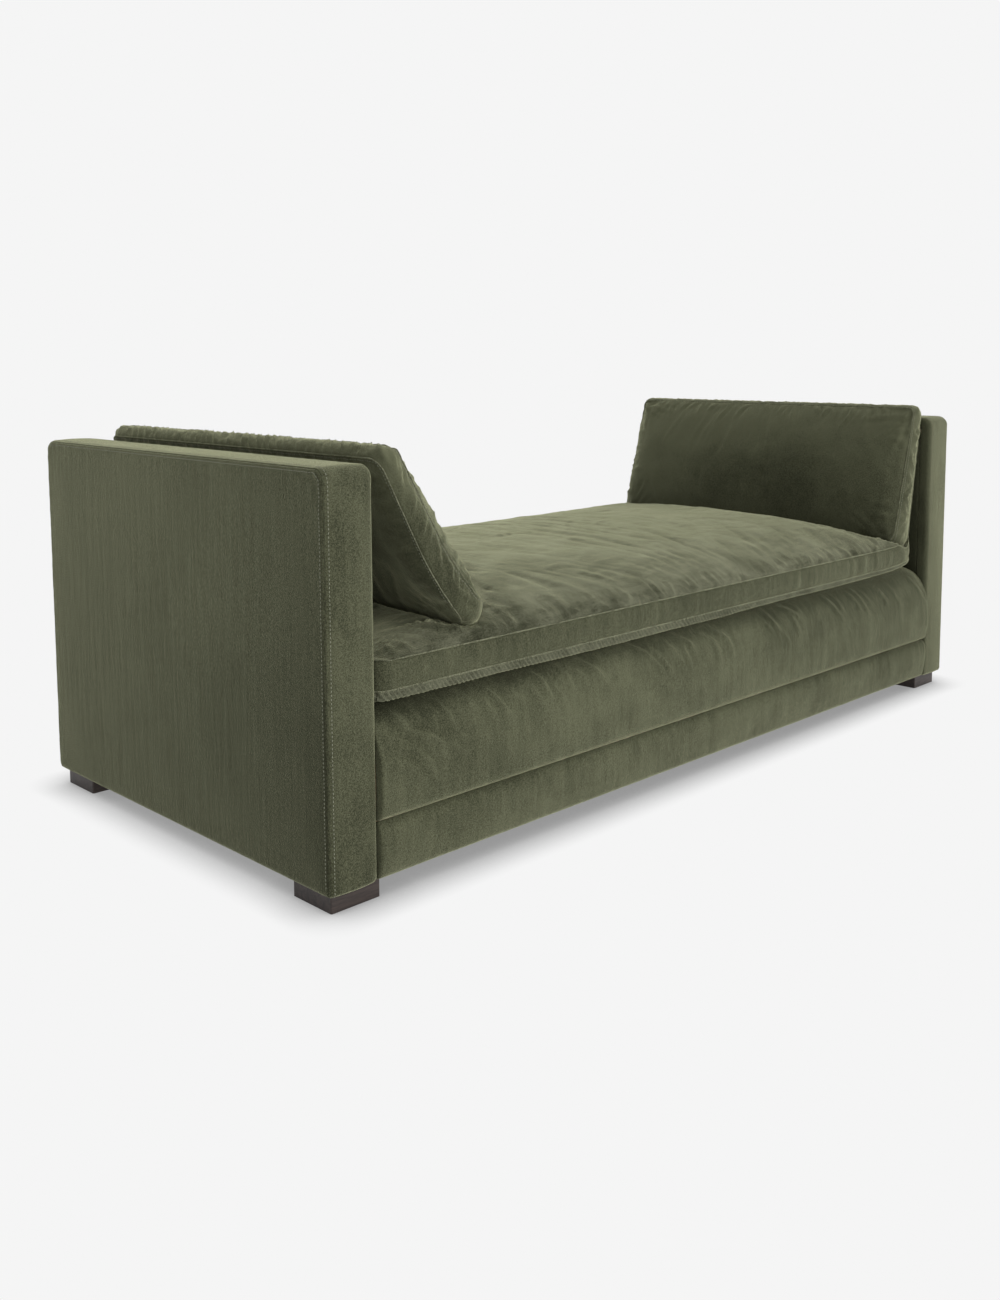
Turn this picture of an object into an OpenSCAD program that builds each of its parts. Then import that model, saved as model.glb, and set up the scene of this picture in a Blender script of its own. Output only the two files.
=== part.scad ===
// Upholstered daybed: two slab arms, a sprung deck between them, a loose seat cushion
// and a loose cushion leaning on each arm. It is the same from the front and from the back.
// X runs along the length, the front faces -Y, Z is up, and the origin is on the floor
// under the middle. All sizes are in millimetres.

/* [Overall] */
// Length, from the outside of one arm to the outside of the other
length = 2134; // [2000:1:2280]
// Depth, from the front to the back
depth = 965; // [900:1:1040]
// Height of the arms above the floor
arm_h = 745; // [720:1:800]
// Thickness of each arm
arm_t = 105; // [98:1:125]
// Radius of an arm's two top corners, seen from its side
arm_r = 38; // [30:1:60]

/* [Feet] */
// Width of a foot along the length of the daybed
foot_w = 104; // [90:1:112]
// Depth of a foot
foot_d = 107; // [90:1:115]
// Height of a foot, which is how far the upholstery is off the floor
foot_h = 35; // [25:1:60]
// Distance of a foot from the arm's outside and front faces
foot_inset = 15; // [8:1:20]

/* [Base] */
// Height of the top of the sprung deck
deck_z = 340; // [330:1:350]
// Height of the seam between the rail band and the border above it
rail_seam_z = 139; // [110:1:170]
// Radius of the deck's rolled front and back edges
deck_r = 60; // [50:1:64]
// Number of zigzag springs
spring_count = 13; // [9:1:15]

/* [Cushions] */
// Height of the seat cushion's seam under its crown
seat_seam_z = 410; // [404:1:414]
// Height of the top of the seat cushion's crown
seat_top_z = 494; // [480:1:500]
// Height of an end cushion, measured along its slope
pillow_h = 372; // [340:1:390]
// Thickness of an end cushion at its sewn edges
pillow_t = 58; // [50:1:62]
// Slope of the left end cushion from upright
left_lean = 29; // [27:1:31]
// Slope of the right end cushion from upright
right_lean = 11.4; // [10:0.2:12]

/* [Upholstery] */
// Thickness of the velvet and its backing
cloth = 3; // [2:0.5:4]
// Thickness of the foam behind the fronts, tops and backs
pad = 9; // [6:1:12]
// Thickness of the felt on an arm's two sides
felt = 6; // [4:1:8]

/* [Hidden] */
$fn = 48;

velvet = [0.31, 0.33, 0.25];
lining = [0.12, 0.12, 0.12];
raw_wood = [0.78, 0.64, 0.45];
board_brown = [0.55, 0.42, 0.28];
foam_cream = [0.88, 0.85, 0.72];
wadding_white = [0.93, 0.93, 0.9];
jute = [0.72, 0.6, 0.42];
spring_steel = [0.5, 0.51, 0.53];
dark_wood = [0.2, 0.15, 0.14];

eps = 1; // how far a cutter runs past what it cuts
half_l = length / 2;
half_d = depth / 2;
inner_l = length - 2 * arm_t; // clear length between the arms
half_inner = inner_l / 2;

// Arm
skin_edge = cloth + pad; // upholstery on an arm's front, top and back
skin_side = cloth + felt; // upholstery on an arm's two sides
board_t = 6;
post_d = 75;
arm_rail_h = 60;
arm_foot_rail_h = 90;
frame_u0 = skin_side + board_t; // the arm's wooden frame, measured in from its outside
frame_u1 = arm_t - skin_side - board_t;

// Base
rail_t = 28;
end_rail_t = 25;
rail_top = deck_z - 68;
rail_y = half_d - skin_edge - rail_t; // inner face of the front and back rails
end_rail_z0 = 60;
cross_rail_t = 32;
cross_rail_h = 70;
block_leg = 70;
block_z0 = 175;
block_z1 = 255;

// Springs, clips and tie wires
wire = 3.8;
clip_t = 1.2;
clip_w = 32;
clip_d = 16;
spring_loops = 22;
spring_half_w = 22;
spring_y = rail_y + rail_t / 2 + 2; // the end bars lie on the rails
spring_z = rail_top + clip_t;
tie_r = 1.5;
burlap_t = 1.6;
foam_z0 = deck_z - 58;

// Fixings
bolt_r = 4;
bore_r = 4.25;
arm_bolt_y = rail_y - 22;
arm_bolt_zs = [112, 160];
arm_bolt_reach = 43; // how far a bolt goes into a post
bolt_head_r = 7.5;
bolt_head_h = 5.5;
foot_x = half_l - foot_inset - foot_w / 2;
foot_y = half_d - foot_inset - foot_d / 2;
foot_bore_z0 = 8;
foot_bolt_top = foot_h + 60;

// Seat cushion
seat_gap = 3; // clearance to each arm
seat_front = half_d - 5;
seat_half_l = half_inner - seat_gap;
seat_corner_r = 40;
seat_under_z = deck_z + 1;
seat_lower_seam_z = deck_z + 19;
seat_crown = seat_top_z - seat_seam_z;
cover_t = 4;
wrap_t = 14;
slice = 0.5; // thickness of the thin plates that a cushion is hulled from
// Each level of the crown: how far in from the edge, and what share of the crown's height
crown_levels = [[0, 0], [20, 0.3], [63, 0.53], [176, 0.81], [336, 1]];

// End cushions, measured from the inner face of the arm that each leans on
pillow_half_l = 459;
pillow_r = 36;
left_foot_x = 232;
left_foot_z = 436;
right_foot_x = 106;
right_foot_z = 405;
front_bulge = 40;
back_bulge = 8;
// Each level of a bulge: how far in from the edge, and what share of the bulge
front_levels = [[0, 0], [14, 0.38], [45, 0.7], [110, 1]];
back_levels = [[0, 0], [40, 1]];

// ---------------------------------------------------------------- shared shapes

// Draws a left-hand piece, or its mirror image on the right
module on_side(side) {
    mirror([side > 0 ? 1 : 0, 0, 0]) children();
}

// Draws a front piece, or its mirror image at the back
module on_face(face) {
    mirror([0, face > 0 ? 1 : 0, 0]) children();
}

// A plank given by its low and high corners
module block(low, high) {
    translate(low) cube(high - low);
}

// An arm seen from its side, shrunk by inset on its front, top and back.
// drop makes it longer below, for cutting.
module arm_outline(inset, drop = 0) {
    r = arm_r - inset;
    w = depth - 2 * inset;
    h = arm_h - foot_h - inset;
    union() {
        translate([-w / 2, -drop]) square([w, h - r + drop]);
        translate([-w / 2 + r, -drop]) square([w - 2 * r, h + drop]);
        for (s = [-1, 1]) translate([s * (w / 2 - r), h - r]) circle(r);
    }
}

// A slab of the left arm between two depths in from its outside
module arm_slab(inset, u0, u1, drop = 0) {
    translate([-half_l + u0, 0, foot_h])
        rotate([90, 0, 90])
            linear_extrude(u1 - u0)
                arm_outline(inset, drop);
}

// Part of the left arm's frame, cut to the arm's rounded outline
module arm_timber(y0, y1, z0, z1) {
    intersection() {
        arm_slab(skin_edge, frame_u0, frame_u1);
        block([-half_l, y0, z0], [-half_l + arm_t, y1, z1]);
    }
}

// The bores for the four bolts that hold the left arm on the base
module arm_bolt_bores() {
    for (s = [-1, 1], z = arm_bolt_zs)
        translate([-half_inner - skin_side - board_t - arm_bolt_reach - 2, s * arm_bolt_y, z])
            rotate([0, 90, 0])
                cylinder(r = bore_r, h = skin_side + board_t + arm_bolt_reach + end_rail_t + 2 * eps + 2);
}

// The bore in the post over one foot
module foot_bore(face) {
    translate([-foot_x, face * foot_y, foot_h - eps])
        cylinder(r = bore_r, h = foot_bolt_top - foot_h + 2 * eps);
}

// A thin level plate with round corners
module plate(half_x, half_y, r, z) {
    for (sx = [-1, 1], sy = [-1, 1])
        translate([sx * (half_x - r), sy * (half_y - r), z])
            cylinder(r = r, h = slice, $fn = 32);
}

// ---------------------------------------------------------------- arms

module arm_front_post(side) {
    color(raw_wood) on_side(side) difference() {
        arm_timber(-half_d, -half_d + skin_edge + post_d, foot_h, arm_h);
        arm_bolt_bores();
        foot_bore(-1);
    }
}

module arm_back_post(side) {
    color(raw_wood) on_side(side) difference() {
        arm_timber(half_d - skin_edge - post_d, half_d, foot_h, arm_h);
        arm_bolt_bores();
        foot_bore(1);
    }
}

module arm_top_rail(side) {
    reach = half_d - skin_edge - post_d;
    color(raw_wood) on_side(side)
        arm_timber(-reach, reach, arm_h - skin_edge - arm_rail_h, arm_h);
}

module arm_bottom_rail(side) {
    reach = half_d - skin_edge - post_d;
    color(raw_wood) on_side(side)
        arm_timber(-reach, reach, foot_h, foot_h + arm_foot_rail_h);
}

module arm_outer_board(side) {
    color(board_brown) on_side(side) arm_slab(skin_edge, skin_side, frame_u0);
}

module arm_inner_board(side) {
    color(board_brown) on_side(side) difference() {
        arm_slab(skin_edge, frame_u1, arm_t - skin_side);
        arm_bolt_bores();
    }
}

// Foam over the front, top and back of the frame, with felt on its two sides
module arm_padding(side) {
    color(foam_cream) on_side(side) difference() {
        arm_slab(cloth, cloth, arm_t - cloth);
        arm_slab(skin_edge, skin_side, arm_t - skin_side, drop = eps);
        arm_bolt_bores();
    }
}

module arm_outside_panel(side) {
    color(velvet) on_side(side) arm_slab(cloth, 0, cloth);
}

module arm_inside_panel(side) {
    color(velvet) on_side(side) difference() {
        arm_slab(cloth, arm_t - cloth, arm_t);
        arm_bolt_bores();
    }
}

// The strip of velvet up the front, over the top and down the back
module arm_band(side) {
    color(velvet) on_side(side) difference() {
        arm_slab(0, 0, arm_t);
        arm_slab(cloth, -eps, arm_t + eps, drop = eps);
    }
}

// ---------------------------------------------------------------- base frame

module long_rail(face) {
    color(raw_wood) on_face(face)
        block([-half_inner, -rail_y - rail_t, foot_h], [half_inner, -rail_y, rail_top]);
}

module end_rail(side) {
    color(raw_wood) on_side(side) difference() {
        block([-half_inner, -rail_y, end_rail_z0], [-half_inner + end_rail_t, rail_y, rail_top]);
        arm_bolt_bores();
    }
}

module cross_rails() {
    color(raw_wood)
        for (x = [-inner_l / 4, 0, inner_l / 4])
            block([x - cross_rail_t / 2, -rail_y, end_rail_z0],
                [x + cross_rail_t / 2, rail_y, end_rail_z0 + cross_rail_h]);
}

module corner_blocks() {
    color(raw_wood)
        for (side = [-1, 1], face = [-1, 1])
            on_side(side) on_face(face)
                translate([-half_inner + end_rail_t, -rail_y, block_z0])
                    linear_extrude(block_z1 - block_z0)
                        polygon([[0, 0], [block_leg, 0], [0, block_leg]]);
}

// ---------------------------------------------------------------- springs

// The middle line of one zigzag spring: bars across it, joined by eight-sided bends
spring_pitch = 2 * spring_y / spring_loops;
spring_line = [
    for (i = [0 : spring_loops]) let (s = i % 2 == 0 ? 1 : -1, y = -spring_y + i * spring_pitch)
        each concat(
            [[-s * spring_half_w, y], [s * spring_half_w, y]],
            i == spring_loops ? [] : [
                [s * (spring_half_w + 0.35 * spring_pitch), y + 0.25 * spring_pitch],
                [s * (spring_half_w + 0.35 * spring_pitch), y + 0.75 * spring_pitch]
            ]
        )
];

function unit(v) = v / norm(v);
function turn_left(v) = [-v[1], v[0]];
// The way to move point i so that the line's edge stays parallel to the line
function mitre(line, i) = let (
    last = len(line) - 1,
    before = turn_left(unit(line[max(i, 1)] - line[max(i, 1) - 1])),
    after = turn_left(unit(line[min(i, last - 1) + 1] - line[min(i, last - 1)]))
) (before + after) / (1 + before * after);
function edge_of(line, d) = [for (i = [0 : len(line) - 1]) line[i] + d * mitre(line, i)];
function backwards(list) = [for (i = [len(list) - 1 : -1 : 0]) list[i]];

spring_step = inner_l / (spring_count + 1);
spring_xs = [for (i = [1 : spring_count]) -half_inner + i * spring_step];

module zigzag_springs() {
    color(spring_steel)
        for (x = spring_xs)
            translate([x, 0, spring_z])
                linear_extrude(wire)
                    polygon(concat(edge_of(spring_line, wire / 2),
                        backwards(edge_of(spring_line, -wire / 2))));
}

// A clip holds each end bar down on its rail: seen from the side it is a hook
module spring_clips() {
    top = 2 * clip_t + wire;
    color(spring_steel)
        for (x = spring_xs, face = [-1, 1])
            on_face(face)
                translate([x - clip_w / 2, -spring_y - wire / 2 - clip_t, rail_top])
                    rotate([90, 0, 90])
                        linear_extrude(clip_w)
                            polygon([
                                [0, 0], [clip_d, 0], [clip_d, clip_t], [clip_t, clip_t],
                                [clip_t, top - clip_t], [clip_d - 6, top - clip_t], [clip_d - 6, top], [0, top]
                            ]);
}

module tie_wires() {
    color(spring_steel)
        for (y = [-rail_y / 2, 0, rail_y / 2])
            translate([-half_inner + end_rail_t, y, spring_z + wire + tie_r])
                rotate([0, 90, 0])
                    cylinder(r = tie_r, h = inner_l - 2 * end_rail_t);
}

// ---------------------------------------------------------------- base upholstery

module deck_cloth() {
    color(jute)
        block([-half_inner, -half_d + skin_edge, foam_z0 - burlap_t],
            [half_inner, half_d - skin_edge, foam_z0]);
}

// The deck seen from its end: flat on top, with a rolled edge at the front and the back
module deck_outline(inset) {
    r = deck_r - inset;
    w = depth - 2 * inset;
    top = deck_z - inset;
    union() {
        translate([-w / 2, rail_seam_z]) square([w, top - r - rail_seam_z]);
        translate([-w / 2 + r, rail_seam_z]) square([w - 2 * r, top - rail_seam_z]);
        for (s = [-1, 1]) translate([s * (w / 2 - r), top - r]) circle(r);
    }
}

module along_deck() {
    translate([-half_inner, 0, 0]) rotate([90, 0, 90]) linear_extrude(inner_l) children();
}

module deck_foam() {
    color(foam_cream) along_deck() intersection() {
        deck_outline(cloth);
        translate([-half_d, foam_z0]) square([depth, deck_z]);
    }
}

module deck_cover() {
    color(velvet)
        block([-half_inner, -half_d + deck_r, deck_z - cloth], [half_inner, half_d - deck_r, deck_z]);
}

module base_padding(face) {
    color(foam_cream) on_face(face)
        block([-half_inner, -half_d + cloth, foot_h], [half_inner, -half_d + skin_edge, deck_z - deck_r]);
}

module rail_band(face) {
    color(velvet) on_face(face)
        block([-half_inner, -half_d, foot_h], [half_inner, -half_d + cloth, rail_seam_z]);
}

// The velvet from the rail seam up and over the rolled edge
module border(face) {
    color(velvet) on_face(face) along_deck() difference() {
        deck_outline(0);
        deck_outline(cloth);
        translate([-half_d - eps, 0]) square([depth + 2 * eps, rail_seam_z]);
        translate([-half_d + deck_r, 0]) square([depth, deck_z + eps]);
    }
}

module dust_cover() {
    margin = foot_inset + foot_w - arm_t + 4;
    color(lining)
        block([-half_inner + margin, -half_d + 22, foot_h - 1], [half_inner - margin, half_d - 22, foot_h]);
}

// ---------------------------------------------------------------- fixings and feet

module arm_bolts() {
    shank = end_rail_t + skin_side + board_t + arm_bolt_reach;
    color(spring_steel)
        for (side = [-1, 1], s = [-1, 1], z = arm_bolt_zs)
            on_side(side)
                translate([-half_inner + end_rail_t, s * arm_bolt_y, z])
                    rotate([0, 90, 0]) {
                        translate([0, 0, -shank]) cylinder(r = bolt_r, h = shank);
                        cylinder(r = bolt_head_r, h = bolt_head_h, $fn = 6);
                    }
}

module foot_bolts() {
    color(spring_steel)
        for (x = [-foot_x, foot_x], y = [-foot_y, foot_y])
            translate([x, y, foot_bore_z0])
                cylinder(r = bolt_r, h = foot_bolt_top - foot_bore_z0);
}

module foot(side, face) {
    r = 3;
    color(dark_wood) on_side(side) on_face(face) translate([-foot_x, -foot_y, 0]) difference() {
        linear_extrude(foot_h) union() {
            square([foot_w - 2 * r, foot_d], center = true);
            square([foot_w, foot_d - 2 * r], center = true);
            for (sx = [-1, 1], sy = [-1, 1])
                translate([sx * (foot_w / 2 - r), sy * (foot_d / 2 - r)]) circle(r);
        }
        translate([0, 0, foot_bore_z0]) cylinder(r = bore_r, h = foot_h);
    }
}

// ---------------------------------------------------------------- seat cushion

// The seat cushion's whole volume, shrunk by inset all round
module seat_volume(inset) {
    intersection() {
        hull() {
            plate(seat_half_l - inset - 22, seat_front - inset - 22, seat_corner_r, seat_under_z + inset);
            plate(seat_half_l - inset, seat_front - inset, seat_corner_r, seat_lower_seam_z);
            for (level = crown_levels)
                plate(seat_half_l - inset - level[0], seat_front - inset - level[0], seat_corner_r,
                    seat_seam_z - inset - slice + level[1] * seat_crown);
        }
        seat_length_profile(inset);
    }
}

// The seat cushion seen from the front: pressed down where each end cushion stands on it
module seat_length_profile(inset) {
    left = -half_inner;
    right = half_inner;
    translate([0, half_d, -inset])
        rotate([90, 0, 0])
            linear_extrude(depth)
                polygon([
                    [left, 300], [right, 300],
                    [right, right_foot_z - 14], [right - right_foot_x + 36, right_foot_z - 12],
                    [right - right_foot_x - 60, right_foot_z + 4], [right - right_foot_x - 190, 465],
                    [right - right_foot_x - 330, 500], [left + left_foot_x + 330, 500],
                    [left + left_foot_x + 130, 474], [left + left_foot_x + 40, left_foot_z - 6],
                    [left + left_foot_x - 30, left_foot_z - 20], [left, left_foot_z - 42]
                ]);
}

module seat_cushion_cover() {
    color(velvet) difference() {
        seat_volume(0);
        seat_volume(cover_t);
    }
}

module seat_cushion_wrap() {
    color(wadding_white) difference() {
        seat_volume(cover_t);
        seat_volume(wrap_t);
    }
}

module seat_cushion_core() {
    color(foam_cream) seat_volume(wrap_t);
}

// ---------------------------------------------------------------- end cushions

// One level of an end cushion that lies flat, inset all round
module pillow_plate(inset, z) {
    plate(pillow_h / 2 - inset, pillow_half_l - inset, pillow_r, z);
}

// A cushion standing on its lower edge, with its front towards +X, shrunk by inset all round
module pillow_volume(inset) {
    translate([0, 0, pillow_h / 2]) rotate([0, 90, 0]) hull() {
        for (level = front_levels)
            pillow_plate(inset + level[0], pillow_t / 2 - inset - slice + level[1] * front_bulge);
        for (level = back_levels)
            pillow_plate(inset + level[0], inset - pillow_t / 2 - level[1] * back_bulge);
    }
}

module lean_on_left_arm() {
    translate([-half_inner + left_foot_x, 0, left_foot_z]) rotate([0, -left_lean, 0]) children();
}

module lean_on_right_arm() {
    mirror([1, 0, 0])
        translate([-half_inner + right_foot_x, 0, right_foot_z]) rotate([0, -right_lean, 0]) children();
}

module pillow_cover() {
    color(velvet) difference() {
        pillow_volume(0);
        pillow_volume(cover_t);
    }
}

module pillow_fill() {
    color(wadding_white) pillow_volume(cover_t);
}

// ---------------------------------------------------------------- assembly

arm_front_post(-1);  // left_arm_front_post
arm_back_post(-1);  // left_arm_back_post
arm_top_rail(-1);  // left_arm_top_rail
arm_bottom_rail(-1);  // left_arm_bottom_rail
arm_outer_board(-1);  // left_arm_outer_board
arm_inner_board(-1);  // left_arm_inner_board
arm_padding(-1);  // left_arm_padding
arm_outside_panel(-1);  // left_arm_outside_panel
arm_inside_panel(-1);  // left_arm_inside_panel
arm_band(-1);  // left_arm_band
arm_front_post(1);  // right_arm_front_post
arm_back_post(1);  // right_arm_back_post
arm_top_rail(1);  // right_arm_top_rail
arm_bottom_rail(1);  // right_arm_bottom_rail
arm_outer_board(1);  // right_arm_outer_board
arm_inner_board(1);  // right_arm_inner_board
arm_padding(1);  // right_arm_padding
arm_outside_panel(1);  // right_arm_outside_panel
arm_inside_panel(1);  // right_arm_inside_panel
arm_band(1);  // right_arm_band
long_rail(-1);  // front_rail
long_rail(1);  // back_rail
end_rail(-1);  // left_end_rail
end_rail(1);  // right_end_rail
cross_rails();
corner_blocks();
zigzag_springs();
spring_clips();
tie_wires();
deck_cloth();
deck_foam();
deck_cover();
base_padding(-1);  // front_padding
base_padding(1);  // back_padding
rail_band(-1);  // front_rail_band
rail_band(1);  // back_rail_band
border(-1);  // front_border
border(1);  // back_border
dust_cover();
arm_bolts();
foot_bolts();
foot(-1, -1);  // left_front_foot
foot(-1, 1);  // left_back_foot
foot(1, -1);  // right_front_foot
foot(1, 1);  // right_back_foot
seat_cushion_cover();
seat_cushion_wrap();
seat_cushion_core();
lean_on_left_arm() pillow_cover();  // left_end_cushion_cover
lean_on_left_arm() pillow_fill();  // left_end_cushion_fill
lean_on_right_arm() pillow_cover();  // right_end_cushion_cover
lean_on_right_arm() pillow_fill();  // right_end_cushion_fill
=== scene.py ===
import math

import bpy
import numpy as np
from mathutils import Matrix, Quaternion, Vector
from mathutils.bvhtree import BVHTree


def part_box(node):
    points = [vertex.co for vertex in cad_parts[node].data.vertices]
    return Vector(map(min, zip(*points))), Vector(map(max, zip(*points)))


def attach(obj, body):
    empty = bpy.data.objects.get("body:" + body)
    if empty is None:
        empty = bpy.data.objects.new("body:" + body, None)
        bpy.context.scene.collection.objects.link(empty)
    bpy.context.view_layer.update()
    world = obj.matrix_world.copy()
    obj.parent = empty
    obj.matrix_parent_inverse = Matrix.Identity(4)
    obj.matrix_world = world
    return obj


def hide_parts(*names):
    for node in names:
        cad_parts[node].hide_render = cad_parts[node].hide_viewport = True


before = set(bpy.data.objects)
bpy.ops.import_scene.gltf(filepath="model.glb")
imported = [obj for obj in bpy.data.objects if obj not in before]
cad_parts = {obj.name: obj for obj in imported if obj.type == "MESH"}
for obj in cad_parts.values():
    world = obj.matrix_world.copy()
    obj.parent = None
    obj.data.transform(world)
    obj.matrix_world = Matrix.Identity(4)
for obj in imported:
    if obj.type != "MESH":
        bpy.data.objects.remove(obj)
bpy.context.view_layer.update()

# %% [markdown]
# A velvet daybed, built around a imported frame.
# The frame already holds every piece at its real size and place. This script dresses it:
# it keeps the wood, the springs and the feet, and makes every soft piece again as fabric.
# First come the tools, and the sizes read from the frame.

# %% [markdown]
# ## Sizes taken from the frame
# A cover fits a real piece, so its size is read from the box of that piece.
# Everything is in metres, X runs along the length, and the front faces -Y.

# %% Sizes that several covers share
BAND_LOW, BAND_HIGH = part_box("left_arm_band")
BORDER_LOW, BORDER_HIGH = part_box("front_border")
SEAT_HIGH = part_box("seat_cushion_cover")[1]
HALF_LENGTH = -BAND_LOW.x
HALF_DEPTH = BAND_HIGH.y
HEM_Z = BAND_LOW.z
ARM_TOP = BAND_HIGH.z
ARM_THICK = BAND_HIGH.x - BAND_LOW.x
ARM_INNER = HALF_LENGTH - ARM_THICK
RAIL_SEAM_Z = BORDER_LOW.z
DECK_Z = BORDER_HIGH.z
print("arms", HALF_LENGTH, HALF_DEPTH, ARM_TOP, "deck", DECK_Z)

# %% [markdown]
# ## Floor, light and camera
# A studio sweep is a floor that runs on until it meets a backdrop of the same white.
# The world is a plain white dome, which gives velvet the soft light that shows its nap,
# and two large soft suns add a little direction from the front and from above.
# The floor glows evenly, and its shadow is painted: an ambient occlusion node dims its glow
# where something stands close above it, so the painted shadow stays tight and pale.

# %% Floor
floor_mesh = bpy.data.meshes.new("floor")
floor_mesh.from_pydata([(120, -280, 0), (120, 120, 0), (-280, 120, 0), (-280, -280, 0)], [], [(0, 1, 2, 3)])
floor = bpy.data.objects.new("floor", floor_mesh)
bpy.context.scene.collection.objects.link(floor)

FLOOR_GREY = 0.913
paper = bpy.data.materials.new("studio_floor")
paper.use_nodes = True
nodes, links = paper.node_tree.nodes, paper.node_tree.links
glow = nodes.new("ShaderNodeEmission")
# Painted shadow: ambient occlusion dims the floor's glow close under the daybed.
painted_shadow_ao = nodes.new("ShaderNodeAmbientOcclusion")
painted_shadow_ao.inputs["Distance"].default_value = 0.085
painted_shadow_ao.samples = 12
shade = nodes.new("ShaderNodeMapRange")
shade.inputs["From Min"].default_value = 0.25
shade.inputs["From Max"].default_value = 0.97
shade.inputs["To Min"].default_value = 0.30
shade.inputs["To Max"].default_value = FLOOR_GREY
links.new(painted_shadow_ao.outputs["AO"], shade.inputs["Value"])
links.new(shade.outputs["Result"], glow.inputs["Strength"])
links.new(glow.outputs["Emission"], nodes["Material Output"].inputs["Surface"])
nodes.remove(nodes["Principled BSDF"])
floor_mesh.materials.append(paper)

# %% [markdown]
# ### A dome and two suns
# The dome's strength depends on the direction: it is brighter to the right and in front.
# Where the camera looks past the daybed it sees a plain backdrop instead, through a switch
# that knows camera rays from all others. A sun's angle sets how soft its shadows are.

# %% World and suns
world = bpy.data.worlds.new("white_dome")
world.use_nodes = True
bpy.context.scene.world = world
tree = world.node_tree
dome = tree.nodes["Background"]
dome.inputs["Color"].default_value = (1.0, 1.0, 1.0, 1)
around = tree.nodes.new("ShaderNodeTexCoord")
slope = tree.nodes.new("ShaderNodeVectorMath")
slope.operation = "DOT_PRODUCT"
slope.inputs[1].default_value = (0.30, -0.16, 0.0)
level = tree.nodes.new("ShaderNodeMath")
level.inputs[1].default_value = 0.64
tree.links.new(around.outputs["Generated"], slope.inputs[0])
tree.links.new(slope.outputs["Value"], level.inputs[0])
tree.links.new(level.outputs["Value"], dome.inputs["Strength"])
backdrop = tree.nodes.new("ShaderNodeBackground")
backdrop.inputs["Color"].default_value = (FLOOR_GREY, FLOOR_GREY, FLOOR_GREY, 1)
seen = tree.nodes.new("ShaderNodeLightPath")
choose = tree.nodes.new("ShaderNodeMixShader")
tree.links.new(seen.outputs["Is Camera Ray"], choose.inputs["Fac"])
tree.links.new(dome.outputs["Background"], choose.inputs[1])
tree.links.new(backdrop.outputs["Background"], choose.inputs[2])
tree.links.new(choose.outputs["Shader"], tree.nodes["World Output"].inputs["Surface"])


def soft_sun(name, toward, strength, spread, colour):
    """A far lamp that shines along toward. spread is its apparent width in degrees."""
    lamp = bpy.data.lights.new(name, "SUN")
    lamp.energy = strength
    lamp.angle = math.radians(spread)
    lamp.color = colour
    holder = bpy.data.objects.new(name, lamp)
    holder.rotation_euler = Vector(toward).to_track_quat("-Z", "Y").to_euler()
    bpy.context.scene.collection.objects.link(holder)


soft_sun("overhead", (-0.10, 0.30, -1.0), 0.55, 25, (1.0, 1.0, 0.98))
soft_sun("front", (-0.45, 0.85, -0.40), 1.10, 30, (1.0, 0.99, 0.95))

# %% [markdown]
# ### The camera
# Upright edges stay upright when a camera is hardly tilted, so the lens shift moves the
# picture down instead. The camera is turned by the direction that it looks in, and then
# rolled a quarter of a degree.

# %% Camera
eye = bpy.data.cameras.new("camera")
eye.lens = 35.23
eye.sensor_width = 36.0
eye.shift_y = -0.1277
eye.clip_end = 1000
camera = bpy.data.objects.new("camera", eye)
camera.location = (-2.274, -2.106, 0.927)
aim = Vector((0.69916, 0.70751, -0.10315)).to_track_quat("-Z", "Y")
camera.rotation_euler = (aim @ Quaternion((0, 0, 1), math.radians(-0.25))).to_euler()
bpy.context.scene.collection.objects.link(camera)
bpy.context.scene.camera = camera
bpy.context.scene.view_settings.view_transform = "Standard"
print("camera at", tuple(camera.location))

# %% [markdown]
# ## Node groups for the finishes
# Velvet is a forest of short fibres. Where a hand or a fold has pushed them over, they
# catch the light in another way, so velvet is never one even colour.
# A node group holds that pattern once: clouds where the nap is bruised, streaks that run
# down a panel, and a fine speckle of fibre ends. Each cover then sets its own amounts.

# %% Helpers for shader nodes
def new_material(name):
    """A new material, its node tree and its Principled shader."""
    made = bpy.data.materials.new(name)
    made.use_nodes = True
    return made, made.node_tree, made.node_tree.nodes["Principled BSDF"]


def new_group(name, inputs, outputs):
    """An empty shader group. inputs is {name: (socket type, value)}, outputs {name: type}."""
    group = bpy.data.node_groups.new(name, "ShaderNodeTree")
    for title, (kind, value) in inputs.items():
        made = group.interface.new_socket(title, in_out="INPUT", socket_type=kind)
        made.default_value = value
    for title, kind in outputs.items():
        group.interface.new_socket(title, in_out="OUTPUT", socket_type=kind)
    return group, group.nodes.new("NodeGroupInput"), group.nodes.new("NodeGroupOutput")


def add(tree, kind, links=(), **settings):
    """Adds a node, sets its properties, and links (output socket, input name or index)."""
    made = tree.nodes.new(kind)
    for title, value in settings.items():
        if hasattr(made, title):
            setattr(made, title, value)
        else:
            made.inputs[title.replace("_", " ")].default_value = value
    for source, target in links:
        tree.links.new(source, made.inputs[target])
    return made


def maths(tree, kind, first, second, clamp=False):
    """One Math node. Each of first and second is a socket or a number."""
    made = tree.nodes.new("ShaderNodeMath")
    made.operation = kind
    made.use_clamp = clamp
    for index, value in enumerate((first, second)):
        if isinstance(value, (int, float)):
            made.inputs[index].default_value = value
        else:
            tree.links.new(value, made.inputs[index])
    return made.outputs[0]


def spread(tree, value, low, high, new_low=0.0, new_high=1.0):
    """Stretches low..high of a value to new_low..new_high, with soft ends."""
    made = add(tree, "ShaderNodeMapRange", [(value, "Value")], interpolation_type="SMOOTHSTEP")
    for title, number in (("From Min", low), ("From Max", high), ("To Min", new_low), ("To Max", new_high)):
        made.inputs[title].default_value = number
    return made.outputs["Result"]


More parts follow.
